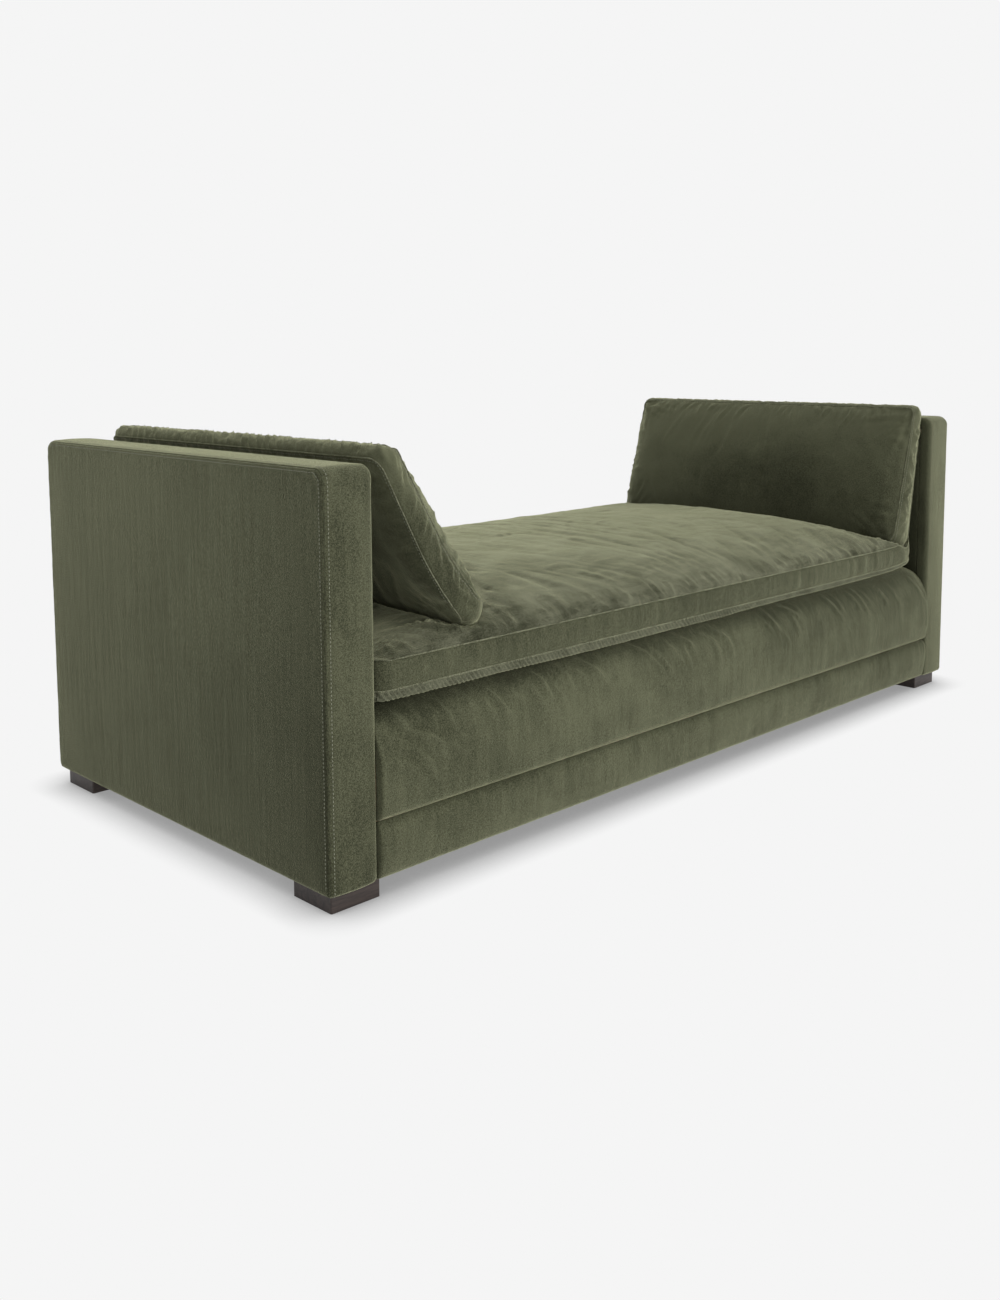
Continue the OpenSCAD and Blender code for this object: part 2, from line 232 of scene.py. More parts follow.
def two_colours(tree, mask, first, second):
    """Mixes two colours by a mask. Each is a socket or a plain (r, g, b, a)."""
    made = add(tree, "ShaderNodeMix", [(mask, "Factor")], data_type="RGBA")
    for index, colour in ((6, first), (7, second)):
        if isinstance(colour, tuple):
            made.inputs[index].default_value = colour
        else:
            tree.links.new(colour, made.inputs[index])
    return made.outputs[2]


def fine_relief(tree, shader, height, strength, distance):
    """Lets a height bend the light on a shader, as fibres or grain would."""
    bump = add(tree, "ShaderNodeBump", [(height, "Height")], Strength=strength, Distance=distance)
    tree.links.new(bump.outputs["Normal"], shader.inputs["Normal"])


# %% Velvet nap
nap, given, result = new_group(
    "velvet_nap",
    {
        "Deep": ("NodeSocketColor", (0.030, 0.034, 0.021, 1)),
        "Brushed": ("NodeSocketColor", (0.085, 0.090, 0.062, 1)),
        "Cloud Scale": ("NodeSocketFloat", 7.0),
        "Cloud Amount": ("NodeSocketFloat", 0.5),
        "Streak Amount": ("NodeSocketFloat", 0.3),
        "Streak Stretch": ("NodeSocketVector", (60.0, 60.0, 5.0)),
        "Speckle Amount": ("NodeSocketFloat", 0.3),
        "Painted Shading": ("NodeSocketFloat", 0.0),
    },
    {"Colour": "NodeSocketColor", "Roughness": "NodeSocketFloat", "Height": "NodeSocketFloat"},
)
place = add(nap, "ShaderNodeTexCoord").outputs["Object"]
cloud = add(nap, "ShaderNodeTexNoise", [(place, "Vector"), (given.outputs["Cloud Scale"], "Scale")],
            Detail=4.0, Roughness=0.55, Distortion=0.6).outputs["Fac"]
streak_place = add(nap, "ShaderNodeVectorMath", [(place, 0), (given.outputs["Streak Stretch"], 1)],
                   operation="MULTIPLY").outputs["Vector"]
streak = add(nap, "ShaderNodeTexNoise", [(streak_place, "Vector")],
             Scale=1.0, Detail=3.0, Roughness=0.6).outputs["Fac"]
speckle = add(nap, "ShaderNodeTexNoise", [(place, "Vector")],
              Scale=900.0, Detail=2.0, Roughness=0.6).outputs["Fac"]
fibre = add(nap, "ShaderNodeTexNoise", [(place, "Vector")],
            Scale=420.0, Detail=2.0, Roughness=0.6).outputs["Fac"]
EVEN, WIDE = (0.32, 0.68), (0.30, 0.70)
parts = [
    maths(nap, "MULTIPLY", spread(nap, pattern, *ends, -0.5, 0.5), given.outputs[amount])
    for pattern, ends, amount in (
        (cloud, EVEN, "Cloud Amount"), (streak, WIDE, "Streak Amount"),
        (speckle, EVEN, "Speckle Amount"), (fibre, EVEN, "Speckle Amount"),
    )
]
total = maths(nap, "ADD", maths(nap, "ADD", parts[0], parts[1]), maths(nap, "ADD", parts[2], parts[3]))
# A shift from each material is added to the mask here: painted light and shade by position.
mask = maths(nap, "ADD", maths(nap, "ADD", total, given.outputs["Painted Shading"]), 0.5, clamp=True)
colour = two_colours(nap, mask, given.outputs["Deep"], given.outputs["Brushed"])
nap.links.new(colour, result.inputs["Colour"])
nap.links.new(spread(nap, mask, 0.0, 1.0, 0.95, 0.78), result.inputs["Roughness"])
bumps = maths(nap, "ADD", maths(nap, "MULTIPLY", speckle, 0.5), maths(nap, "MULTIPLY", fibre, 1.0))
nap.links.new(maths(nap, "ADD", bumps, maths(nap, "MULTIPLY", streak, 0.8)), result.inputs["Height"])
print("velvet nap group:", len(nap.nodes), "nodes")


# %% [markdown]
# ### One velvet for each kind of cover
# All of them use the same group, with their own colours and amounts. One input of the group
# paints light and shade: it makes the velvet lighter or darker along an axis where light falls
# or shade lies. Sheen is the pale light that fibres send back at a low angle, and it is what
# makes a cloth read as velvet.

# %% Velvet materials
SHEEN = (0.82, 0.84, 0.54, 1)
PILE_HEIGHT = 0.0022


def velvet(name, deep, brushed, cloud, cloud_scale, streak, stretch, speckle, bump,
           sheen=1.0, painted_shading=()):
    """A velvet with its own amounts of bruising, streaks and speckle.
    The last argument holds (axis, from, to, amount): painted light and shade, lighter or darker towards one
    side."""
    made, tree, shader = new_material(name)
    pile = tree.nodes.new("ShaderNodeGroup")
    pile.node_tree = nap
    for title, value in (
        ("Deep", (*deep, 1)), ("Brushed", (*brushed, 1)), ("Cloud Scale", cloud_scale),
        ("Cloud Amount", cloud), ("Streak Amount", streak), ("Streak Stretch", stretch),
        ("Speckle Amount", speckle),
    ):
        pile.inputs[title].default_value = value
    # Painted light and shade: each entry makes the velvet lighter or darker along one axis.
    if painted_shading:
        place = add(tree, "ShaderNodeTexCoord").outputs["Object"]
        where = add(tree, "ShaderNodeSeparateXYZ", [(place, 0)])
        shift = 0.0
        for axis, low, high, amount in painted_shading:
            shift = maths(tree, "ADD", spread(tree, where.outputs[axis], low, high, 0.0, amount), shift)
        tree.links.new(shift, pile.inputs["Painted Shading"])
    fine_relief(tree, shader, pile.outputs["Height"], bump, PILE_HEIGHT)
    tree.links.new(pile.outputs["Colour"], shader.inputs["Base Color"])
    tree.links.new(pile.outputs["Roughness"], shader.inputs["Roughness"])
    shader.inputs["Specular IOR Level"].default_value = 0.12
    shader.inputs["Sheen Weight"].default_value = sheen
    shader.inputs["Sheen Roughness"].default_value = 0.36
    shader.inputs["Sheen Tint"].default_value = SHEEN
    return made


DEEP, BRUSHED = (0.024, 0.026, 0.014), (0.110, 0.115, 0.068)
LIFTED = (0.135, 0.138, 0.092)
# Painted shade: the arm velvet darkens towards the bottom of the arm, and a little towards its front.
arm_velvet = velvet("arm_velvet", DEEP, BRUSHED, 0.16, 4.0, 0.07, (60, 60, 5), 0.65, 0.60, sheen=0.94,
                    painted_shading=[("Z", 0.74, 0.05, -0.46), ("Y", -0.05, -0.45, -0.10)])
# Painted shade: the band velvet darkens towards the bottom.
front_velvet = velvet("front_velvet", DEEP, BRUSHED, 0.26, 7.0, 0.20, (50, 50, 6), 0.65, 0.55,
                      painted_shading=[("Z", 0.40, 0.05, -0.22)])
# Painted light and shade: a little lighter left of the middle and darker towards the right end; painted
# shadow at the top of the border under the seat cushion, and on the deck sheet.
base_velvet = velvet("base_velvet", DEEP, BRUSHED, 0.34, 4.5, 0.22, (60, 60, 9), 0.60, 0.55, sheen=0.86,
                     painted_shading=[("X", -0.9, -0.4, 0.12), ("X", -0.4, 0.9, -0.52), ("Z", 0.285, 0.325, -0.42)])
seat_velvet = velvet("seat_velvet", DEEP, LIFTED, 0.60, 8.0, 0.44, (16, 70, 50), 0.55, 0.50)
# Painted shade: the boxing velvet darkens towards the right end.
boxing_velvet = velvet("boxing_velvet", DEEP, BRUSHED, 0.26, 6.0, 0.24, (60, 60, 8), 0.60, 0.55, sheen=0.80,
                       painted_shading=[("X", -0.9, 0.9, -0.30)])
# Painted light: the cushion velvet gets lighter towards the top, towards the back and towards the low edge.
cushion_velvet = velvet("cushion_velvet", DEEP, BRUSHED, 0.42, 4.0, 0.16, (40, 14, 14), 0.55, 0.50,
                        painted_shading=[("Z", 0.58, 0.75, 0.62), ("Y", 0.0, 0.45, 0.55), ("Z", 0.54, 0.42, 0.35)])
# A lighter copy of the velvet for the raised seams: a painted highlight on the seam ridges.
seam_velvet_painted_highlight = velvet("seam_velvet_painted_highlight", (0.050, 0.053, 0.034), (0.24, 0.245, 0.165),
                     0.4, 20.0, 0.2, (90, 90, 90), 0.9, 0.5)
# A lighter copy of the velvet for the gathered strip under the seat's low seam: painted sheen on a strip that
# faces down.
gathered_velvet_painted_sheen = velvet("gathered_velvet_painted_sheen", (0.040, 0.042, 0.026), (0.17, 0.175, 0.118),
                         0.2, 20.0, 0.2, (90, 90, 90), 0.5, 0.4)
print("velvets made")

# %% [markdown]
# ## Finishes that stay hidden
# A visitor never sees the wood, the springs or the foam, but a maker does, so each still
# looks like what it is. Wood grain is noise stretched along the plank and warped a little.
# Foam is full of tiny pores, wadding is a mat of fibres, and burlap and lining are woven,
# which is two sets of waves that cross.

# %% Grain and weave groups
grain, given, result = new_group(
    "wood_grain",
    {
        "Early": ("NodeSocketColor", (0.62, 0.46, 0.29, 1)),
        "Late": ("NodeSocketColor", (0.36, 0.23, 0.12, 1)),
        "Stretch": ("NodeSocketVector", (40.0, 5.0, 40.0)),
        "Rough": ("NodeSocketFloat", 0.6),
    },
    {"Colour": "NodeSocketColor", "Roughness": "NodeSocketFloat", "Height": "NodeSocketFloat"},
)
place = add(grain, "ShaderNodeTexCoord").outputs["Object"]
drawn = add(grain, "ShaderNodeVectorMath", [(place, 0), (given.outputs["Stretch"], 1)],
            operation="MULTIPLY").outputs["Vector"]
rings = add(grain, "ShaderNodeTexNoise", [(drawn, "Vector")],
            Scale=1.0, Detail=5.0, Roughness=0.62, Distortion=1.1).outputs["Fac"]
pores = add(grain, "ShaderNodeTexNoise", [(drawn, "Vector")], Scale=9.0, Detail=3.0).outputs["Fac"]
figure = maths(grain, "ADD", maths(grain, "MULTIPLY", spread(grain, rings, 0.35, 0.65), 0.75),
               maths(grain, "MULTIPLY", spread(grain, pores, 0.4, 0.6), 0.25))
colour = two_colours(grain, figure, given.outputs["Early"], given.outputs["Late"])
grain.links.new(colour, result.inputs["Colour"])
grain.links.new(maths(grain, "ADD", given.outputs["Rough"], maths(grain, "MULTIPLY", pores, 0.15)),
                result.inputs["Roughness"])
grain.links.new(figure, result.inputs["Height"])

weave, given, result = new_group(
    "plain_weave",
    {
        "Thread": ("NodeSocketColor", (0.5, 0.4, 0.25, 1)),
        "Gap": ("NodeSocketColor", (0.2, 0.15, 0.08, 1)),
        "Threads per Metre": ("NodeSocketFloat", 600.0),
    },
    {"Colour": "NodeSocketColor", "Height": "NodeSocketFloat"},
)
place = add(weave, "ShaderNodeTexCoord").outputs["Object"]
split = add(weave, "ShaderNodeSeparateXYZ", [(place, 0)])
waves = []
for axis in ("X", "Y"):
    count = maths(weave, "MULTIPLY", split.outputs[axis], given.outputs["Threads per Metre"])
    waves.append(maths(weave, "SINE", maths(weave, "MULTIPLY", count, math.pi), 0.0))
crossed = maths(weave, "ABSOLUTE", maths(weave, "MULTIPLY", waves[0], waves[1]), 0.0)
uneven = add(weave, "ShaderNodeTexNoise", [(place, "Vector")], Scale=130.0, Detail=3.0).outputs["Fac"]
raised = maths(weave, "MULTIPLY", crossed, maths(weave, "ADD", uneven, 0.5), clamp=True)
colour = two_colours(weave, raised, given.outputs["Gap"], given.outputs["Thread"])
weave.links.new(colour, result.inputs["Colour"])
weave.links.new(raised, result.inputs["Height"])
print("grain and weave groups made")


# %% Wood, cloth, foam and steel
def grouped(name, group, values, bump, distance, roughness=None, specular=0.3):
    """A material whose colour and relief come from one node group."""
    made, tree, shader = new_material(name)
    look = tree.nodes.new("ShaderNodeGroup")
    look.node_tree = group
    for title, value in values.items():
        look.inputs[title].default_value = value
    fine_relief(tree, shader, look.outputs["Height"], bump, distance)
    tree.links.new(look.outputs["Colour"], shader.inputs["Base Color"])
    if roughness is None:
        tree.links.new(look.outputs["Roughness"], shader.inputs["Roughness"])
    else:
        shader.inputs["Roughness"].default_value = roughness
    shader.inputs["Specular IOR Level"].default_value = specular
    return made


def speckled(name, dark, light, scale, bump, roughness, metallic=0.0):
    """A material of two close colours in a fine noise, for foam, wadding and metal."""
    made, tree, shader = new_material(name)
    place = add(tree, "ShaderNodeTexCoord").outputs["Object"]
    pattern = add(tree, "ShaderNodeTexNoise", [(place, "Vector")],
                  Scale=scale, Detail=4.0, Roughness=0.65).outputs["Fac"]
    mixed = two_colours(tree, spread(tree, pattern, 0.3, 0.7), (*dark, 1), (*light, 1))
    tree.links.new(mixed, shader.inputs["Base Color"])
    fine_relief(tree, shader, pattern, bump, 0.001)
    rough = spread(tree, pattern, 0.2, 0.8, roughness, min(1.0, roughness + 0.15))
    tree.links.new(rough, shader.inputs["Roughness"])
    shader.inputs["Metallic"].default_value = metallic
    return made


PINE = {"Early": (0.60, 0.44, 0.27, 1), "Late": (0.36, 0.22, 0.11, 1), "Rough": 0.62}
pine_long = grouped("pine_along_length", grain, {**PINE, "Stretch": (4, 45, 45)}, 0.3, 0.0006)
pine_deep = grouped("pine_along_depth", grain, {**PINE, "Stretch": (45, 4, 45)}, 0.3, 0.0006)
pine_tall = grouped("pine_upright", grain, {**PINE, "Stretch": (45, 45, 4)}, 0.3, 0.0006)
HARDBOARD = {"Early": (0.30, 0.20, 0.12, 1), "Late": (0.22, 0.14, 0.08, 1),
             "Stretch": (150, 150, 150), "Rough": 0.75}
ESPRESSO = {"Early": (0.052, 0.036, 0.030, 1), "Late": (0.020, 0.013, 0.011, 1),
            "Stretch": (9, 70, 90), "Rough": 0.36}
JUTE = {"Thread": (0.48, 0.37, 0.23, 1), "Gap": (0.16, 0.11, 0.06, 1), "Threads per Metre": 420.0}
BLACK = {"Thread": (0.030, 0.030, 0.032, 1), "Gap": (0.008, 0.008, 0.009, 1), "Threads per Metre": 900.0}
hardboard = grouped("hardboard", grain, HARDBOARD, 0.15, 0.0004)
espresso = grouped("espresso_wood", grain, ESPRESSO, 0.16, 0.0004, specular=0.45)
burlap = grouped("jute_burlap", weave, JUTE, 0.8, 0.0006, roughness=0.9)
lining = grouped("black_lining", weave, BLACK, 0.5, 0.0003, roughness=0.85)
foam = speckled("upholstery_foam", (0.72, 0.64, 0.44), (0.88, 0.82, 0.64), 900.0, 0.6, 0.85)
wadding = speckled("polyester_wadding", (0.80, 0.80, 0.77), (0.93, 0.93, 0.91), 160.0, 0.8, 0.85)
spring_wire = speckled("spring_steel", (0.20, 0.20, 0.21), (0.36, 0.36, 0.38), 300.0, 0.1, 0.30, 1.0)
zinc = speckled("zinc_steel", (0.52, 0.53, 0.54), (0.70, 0.71, 0.72), 90.0, 0.1, 0.32, 1.0)
print("materials:", len(bpy.data.materials))

# %% [markdown]
# ## Tools for making cloth shapes
# Every cover is a sheet of small quads. A sheet starts as a plain grid, is laid over the
# shape that it covers, and is then pushed in and out along its own surface: soft waves
# where the filling is uneven, puckers where a seam gathers it, and creases where it is
# pulled. Even noise from a fixed seed gives the same folds on every run.

# %% Even noise
def noise(points, size, seed):
    """Smooth noise from -1 to 1. size is the width of a bump, one number or one per axis."""
    scaled = np.asarray(points, float) / np.asarray(size, float) + 512.0
    cell = np.floor(scaled).astype(np.int64)
    part = scaled - cell
    part = part * part * (3 - 2 * part)
    value = np.zeros(len(scaled))
    for corner in range(8):
        step = np.array([corner & 1, corner >> 1 & 1, corner >> 2 & 1])
        key = (cell + step) @ np.array([73856093, 19349663, 83492791]) + seed * 2654435761
        key = (key ^ (key >> 15)) * 2246822519 % 4294967296
        key = (key ^ (key >> 13)) * 3266489917 % 4294967296
        share = np.where(step == 1, part, 1 - part).prod(axis=1)
        value += share * ((key ^ (key >> 16)) % 65536 / 32767.5 - 1)
    return value


def soft_noise(points, size, seed):
    """Two sizes of noise together, so that the waves don't look like a pattern."""
    return 0.7 * noise(points, size, seed) + 0.3 * noise(points, np.asarray(size, float) * 0.43, seed + 11)


# %% Sheets of quads
def unit(arrows):
    """Arrows of any length, made one unit long."""
    return arrows / np.maximum(np.linalg.norm(arrows, axis=1), 1e-12)[:, None]


def joined(parts):
    """Several (points, faces) as the points and faces of one mesh."""
    points, faces = [], []
    for more, shapes in parts:
        faces += (shapes + sum(len(p) for p in points)).tolist()
        points.append(more)
    return np.concatenate(points), faces


def quads(rows, columns, first=0, closed=False, flip=False):
    """The faces of a grid of rows x columns points. closed joins the last column to the first."""
    r, c = np.meshgrid(np.arange(rows - 1), np.arange(columns if closed else columns - 1), indexing="ij")
    r, c = r.ravel(), c.ravel()
    nxt = (c + 1) % columns
    made = np.stack([r * columns + c, r * columns + nxt, (r + 1) * columns + nxt, (r + 1) * columns + c], 1)
    return first + (made[:, ::-1] if flip else made)


def normals_of(points, faces):
    """The outward direction at each point of a sheet."""
    a, b, c, d = (points[faces[:, i]] for i in range(4))
    flat = np.cross(c - a, d - b)
    total = np.zeros_like(points)
    for i in range(4):
        np.add.at(total, faces[:, i], flat)
    return unit(total)


def crease(points, normals, path, width, height):
    """How far one pull crease lifts each point: a ridge along a path, with a hollow beside it."""
    path = np.asarray(path, float)
    lift = np.zeros(len(points))
    margin = 4 * width
    close = np.all((points > path.min(0) - margin) & (points < path.max(0) + margin), axis=1)
    near_points, near_normals = points[close], normals[close]
    if not len(near_points):
        return lift
    steps = np.linalg.norm(np.diff(path, axis=0), axis=1)
    run = np.r_[0, np.cumsum(steps)]
    best = np.full(len(near_points), 9.0)
    side, share = np.zeros((2, len(near_points)))
    for n in range(len(path) - 1):
        along = (path[n + 1] - path[n]) / steps[n]
        away = near_points - path[n]
        t = np.clip(away @ along, 0, steps[n])
        rest = away - t[:, None] * along
        distance = np.linalg.norm(rest, axis=1)
        found = distance < best
        best = np.where(found, distance, best)
        beside = np.einsum("ij,ij->i", rest, np.cross(near_normals, along))
        side = np.where(found, beside, side)
        share = np.where(found, (run[n] + t) / run[-1], share)
    fade = np.sin(np.pi * np.clip(0.08 + 0.86 * share, 0, 1)) ** 1.2
    ridge = np.exp(-(best / width) ** 2)
    hollow = np.exp(-((side - 1.6 * width) / (1.1 * width)) ** 2)
    hollow = hollow * np.exp(-((best - np.abs(side)) / width) ** 2)
    lift[close] = height * fade * (ridge - 0.6 * hollow)
    return lift


def creases_seen_along(axis, points, folds, sign=1.0):
    """The lift of many creases on a nearly flat face, placed as seen along an axis."""
    kept = np.ones(3)
    kept[axis] = 0
    facing = np.zeros_like(points)
    facing[:, axis] = sign
    flat = points * kept
    lift = np.zeros(len(points))
    for path, width, height in folds:
        lift += crease(flat, facing, path * kept, width, height)
    return lift


def bow(start, end, sag, count=6):
    """A bent path from start to end. sag moves its middle."""
    start, end, sag = (np.asarray(v, float) for v in (start, end, sag))
    t = np.linspace(0, 1, count)[:, None]
    return start + (end - start) * t + sag * np.sin(np.pi * t)


def make_piece(name, points, faces, finish, body, slot, replaced=(), fill=None):
    """A smooth mesh object that rides a body, wears a finish, and stands for CAD nodes."""
    mesh = bpy.data.meshes.new(name)
    mesh.from_pydata(np.asarray(points, float).tolist(), [], [list(map(int, f)) for f in faces])
    mesh.materials.append(finish)
    mesh.shade_smooth()
    piece = bpy.data.objects.new(name, mesh)
    bpy.context.scene.collection.objects.link(piece)
    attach(piece, body)
    if replaced:
        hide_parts(*replaced)
    return piece


# %% [markdown]
# ## Thread and seams
# Two panels are joined by a seam, and a row of topstitching on each side holds it flat.
# One stitch is a short bead of thread that dips into the cloth at both ends. A row of
# them is a single mesh, spaced by walking along the seam.

# %% Stitches and seam ridges
STITCH_GAP, STITCH_LENGTH, STITCH_WIDTH = 0.0068, 0.0044, 0.00075
STITCH_LIFT, STITCH_DIP = 0.0004, 0.0007


def walk(path, gap):
    """Equal steps along a path: for each, the point before it and its share of the way to the next."""
    steps = np.linalg.norm(np.diff(path, axis=0), axis=1)
    run = np.concatenate([[0], np.cumsum(steps)])
    at = np.arange(gap / 2, run[-1], gap)
    index = np.clip(np.searchsorted(run, at, side="right") - 1, 0, len(path) - 2)
    share = (at - run[index]) / np.maximum(steps[index], 1e-9)
    return index, share


def stitch_beads(path, outward):
    """Points and faces of one row of stitches that lies on a surface along a path."""
    index, share = walk(path, STITCH_GAP)
    middle = path[index] + (path[index + 1] - path[index]) * share[:, None]
    ahead = unit(path[index + 1] - path[index])
    up = outward[index]
    across = unit(np.cross(up, ahead))
    points, faces = [], []
    for n in range(len(middle)):
        centre = middle[n] + up[n] * STITCH_LIFT
        first = len(points)
        points.append(centre - ahead[n] * STITCH_LENGTH / 2 - up[n] * STITCH_DIP)
        for t in (-0.28, 0.28):
            for angle in range(5):
                turn = math.tau * angle / 5
                points.append(centre + ahead[n] * STITCH_LENGTH * t
                              + across[n] * STITCH_WIDTH * math.cos(turn)
                              + up[n] * STITCH_WIDTH * 0.8 * math.sin(turn))
        points.append(centre + ahead[n] * STITCH_LENGTH / 2 - up[n] * STITCH_DIP)
        for k in range(5):
            j = (k + 1) % 5
            faces.append((first, first + 1 + j, first + 1 + k))
            faces.append((first + 1 + k, first + 1 + j, first + 6 + j, first + 6 + k))
            faces.append((first + 11, first + 6 + k, first + 6 + j))
    return points, faces


def ridge_along(path, outward, radius, lift, wobble):
    """The raised edge of a seam: a thin uneven tube that follows a closed path."""
    ahead = unit(np.roll(path, -1, 0) - np.roll(path, 1, 0))
    across = unit(np.cross(outward, ahead))
    thick = radius * (1 + wobble * noise(path, 0.005, 1))
    rows = []
    for angle in range(8):
        turn = math.tau * angle / 8
        rows.append(path + outward * (lift + thick * math.sin(turn))[:, None]
                    + across * (thick * math.cos(turn) * 0.8)[:, None])
    points = np.stack(rows, 1).reshape(-1, 3)
    return points, quads(len(path) + 1, 8, closed=True) % len(points)


def stitched(name, rows, finish, body):
    """One mesh that holds several rows of stitches, each a path with its outward directions."""
    points, faces = [], []
    for path, outward in rows:
        more, shapes = stitch_beads(np.asarray(path), np.asarray(outward))
        faces += [tuple(len(points) + i for i in face) for face in shapes]
        points += more
    return make_piece(name, points, faces, finish, body, "velvet")


thread, tree, thread_shader = new_material("sewing_thread")
twist = add(tree, "ShaderNodeTexNoise", Scale=1500.0, Detail=2.0)
tint = two_colours(tree, twist.outputs["Fac"], (0.16, 0.165, 0.115, 1), (0.30, 0.305, 0.225, 1))
tree.links.new(tint, thread_shader.inputs["Base Color"])
thread_shader.inputs["Roughness"].default_value = 0.6

# %% [markdown]
# ## The arms
# Each arm is a padded slab. Two flat panels cover its sides, and one long band runs up the
# front, over the top and down the back. Band and outer panel meet in a seam that lies
# right on the corner, so both roll into a narrow groove there. On the inner side the band
# turns the corner in a soft roll and meets its panel on the flat.
# The band is a profile swept along the arm's outline, and a panel is a grid whose corners
# are bent to the same outline.

# %% The outline of an arm
def arc(centre_y, centre_z, radius, start, stop, count):
    """Points on an arc and the outward directions there, for angles in degrees."""
    turn = np.radians(np.linspace(start, stop, count))
    out = np.stack([np.cos(turn), np.sin(turn)], 1)
    return np.array([centre_y, centre_z]) + radius * out, out


def arm_outline(step=0.009):
    """Points (y, z), outward directions and length run, from under the front to under the back."""
    half, top, low, r, hem = HALF_DEPTH, ARM_TOP, HEM_Z - 0.0004, 0.024, 0.007
    tuck = np.linspace(0.014, 0.002, 4)
    up = np.arange(low + hem + step, top - r - step / 2, step)
    over = np.arange(-half + r + step, half - r - step / 2, step)
    spans = [
        (np.stack([-half + hem + tuck, np.full(4, low)], 1), np.tile([0.0, -1.0], (4, 1))),
        arc(-half + hem, low + hem, hem, 270, 180, 6),
        (np.stack([np.full(len(up), -half), up], 1), np.tile([-1.0, 0.0], (len(up), 1))),
        arc(-half + r, top - r, r, 180, 90, 13),
        (np.stack([over, np.full(len(over), top)], 1), np.tile([0.0, 1.0], (len(over), 1))),
        arc(half - r, top - r, r, 90, 0, 13),
        (np.stack([np.full(len(up), half), up[::-1]], 1), np.tile([1.0, 0.0], (len(up), 1))),
        arc(half - hem, low + hem, hem, 0, -90, 6),
        (np.stack([half - hem - tuck[::-1], np.full(4, low)], 1), np.tile([0.0, -1.0], (4, 1))),
    ]
    points = np.concatenate([s[0] for s in spans])
    out = np.concatenate([s[1] for s in spans])
    run = np.concatenate([[0], np.cumsum(np.linalg.norm(np.diff(points, axis=0), axis=1))])
    return points, out, run


def on_arm(side, across, y, z):
    """A place on an arm. across is measured in from its outer face; side is -1 left, 1 right."""
    return np.stack([side * (HALF_LENGTH - across), y, z], -1)


# %% The band
OUTER_ROLL = [(0.0050, 0.0050), (0.0041, 0.0034), (0.0033, 0.0021),
              (0.0037, 0.0011), (0.0050, 0.0004), (0.0075, 0.0)]
FLAT = [(u, 0.0) for u in np.linspace(0.0110, 0.0925, 21)]
INNER_ROLL = [(0.095 + 0.010 * math.sin(math.radians(a)), 0.010 - 0.010 * math.cos(math.radians(a)))
              for a in (15, 30, 45, 60, 75, 90)]
INNER_SEAM = [(0.1050, 0.0145), (0.1050, 0.0190), (0.1050, 0.0230),
              (0.1046, 0.0246), (0.1038, 0.0255), (0.1020, 0.0262)]
BAND_PROFILE = np.array(OUTER_ROLL + FLAT + INNER_ROLL + INNER_SEAM)


def corner_share(run, run_at, reach=0.035):
    """1 near the bends of the outline and 0 far from them."""
    return np.exp(-((run[:, None] - run_at[None]) / reach) ** 2).max(1)


def arm_band(side, sink=0.0):
    """The grid of a band, with its rows and columns. sink shrinks it, for the foam beneath."""
    outline, out, run = arm_outline()
    rows, columns = len(outline), len(BAND_PROFILE)
    across = np.clip(BAND_PROFILE[:, 0], sink, ARM_THICK - sink)
    depth = BAND_PROFILE[:, 1] + sink
    place = np.repeat(outline, columns, 0) - np.repeat(out, columns, 0) * np.tile(depth, rows)[:, None]
    wide = np.tile(across, rows)
    points = on_arm(side, wide, place[:, 0], place[:, 1])
    belly = np.clip(np.sin(np.pi * (wide - 0.006) / 0.093), 0, 1) ** 0.6
    high = outline[:, 1] > ARM_TOP - 0.012
    bends = run[[int(np.argmax(high)), -int(np.argmax(high[::-1]))]]
    fuss = np.repeat(0.30 + 1.1 * corner_share(run, bends), columns)
    seam = np.exp(-(wide / 0.013) ** 1.5) * (wide > 0.0036)
    rise = 0.0020 * belly + 0.0011 * belly * soft_noise(points, 0.085, 21 + side)
    rise += 0.0011 * fuss * seam * soft_noise(points, (0.03, 0.011, 0.011), 31 + side)
    inner = np.exp(-((ARM_THICK - wide) / 0.02) ** 2)
    rise += 0.0010 * fuss * inner * soft_noise(points, (0.04, 0.02, 0.02), 37)
    points = points + np.stack([np.zeros(len(points)), *(np.repeat(out, columns, 0) * rise[:, None]).T], 1)
    return points, quads(rows, columns, flip=side > 0), (rows, columns)


# %% [markdown]
# ### Panels with round corners
# A grid has square corners, so its corner points are moved in to an arc. The rim then goes
# on as a short strip that dives into the seam, or under the hem at the bottom.

# %% A panel with the arm's outline
def panel_lines(low, high, ends, step):
    """Grid lines from low to high: close together near both ends, and a step apart between."""
    ends = np.array(ends)
    count = max(2, round((high - low - 2 * ends[-1]) / step) + 1)
    middle = np.linspace(low + ends[-1], high - ends[-1], count)
    return np.concatenate([low + ends[:-1], middle, (high - ends[:-1])[::-1]])


def bend_corners(a, b, half_a, low_b, high_b, r_low, r_high):
    """Moves grid points so that a rectangle gets round corners, smaller ones at its low end."""
    middle, half_b = (low_b + high_b) / 2, (high_b - low_b) / 2
    local = b - middle
    r = np.where(local > 0, r_high, r_low)
    p = np.clip((np.abs(a) - (half_a - r)) / r, 0, 1)
    q = np.clip((np.abs(local) - (half_b - r)) / r, 0, 1)
    new_a = np.where(p > 0, np.sign(a) * (half_a - r + r * p * np.sqrt(1 - q * q / 2)), a)
    new_b = np.where(q > 0, np.sign(local) * (half_b - r + r * q * np.sqrt(1 - p * p / 2)), local)
    gap = r - np.sqrt(p * p + q * q - p * p * q * q) * r
    straight = np.minimum(half_a - np.abs(a), half_b - np.abs(local))
    edge = np.minimum(straight, np.where((p > 0) & (q > 0), gap, 9))
    return new_a, new_b + middle, np.maximum(edge, 0)


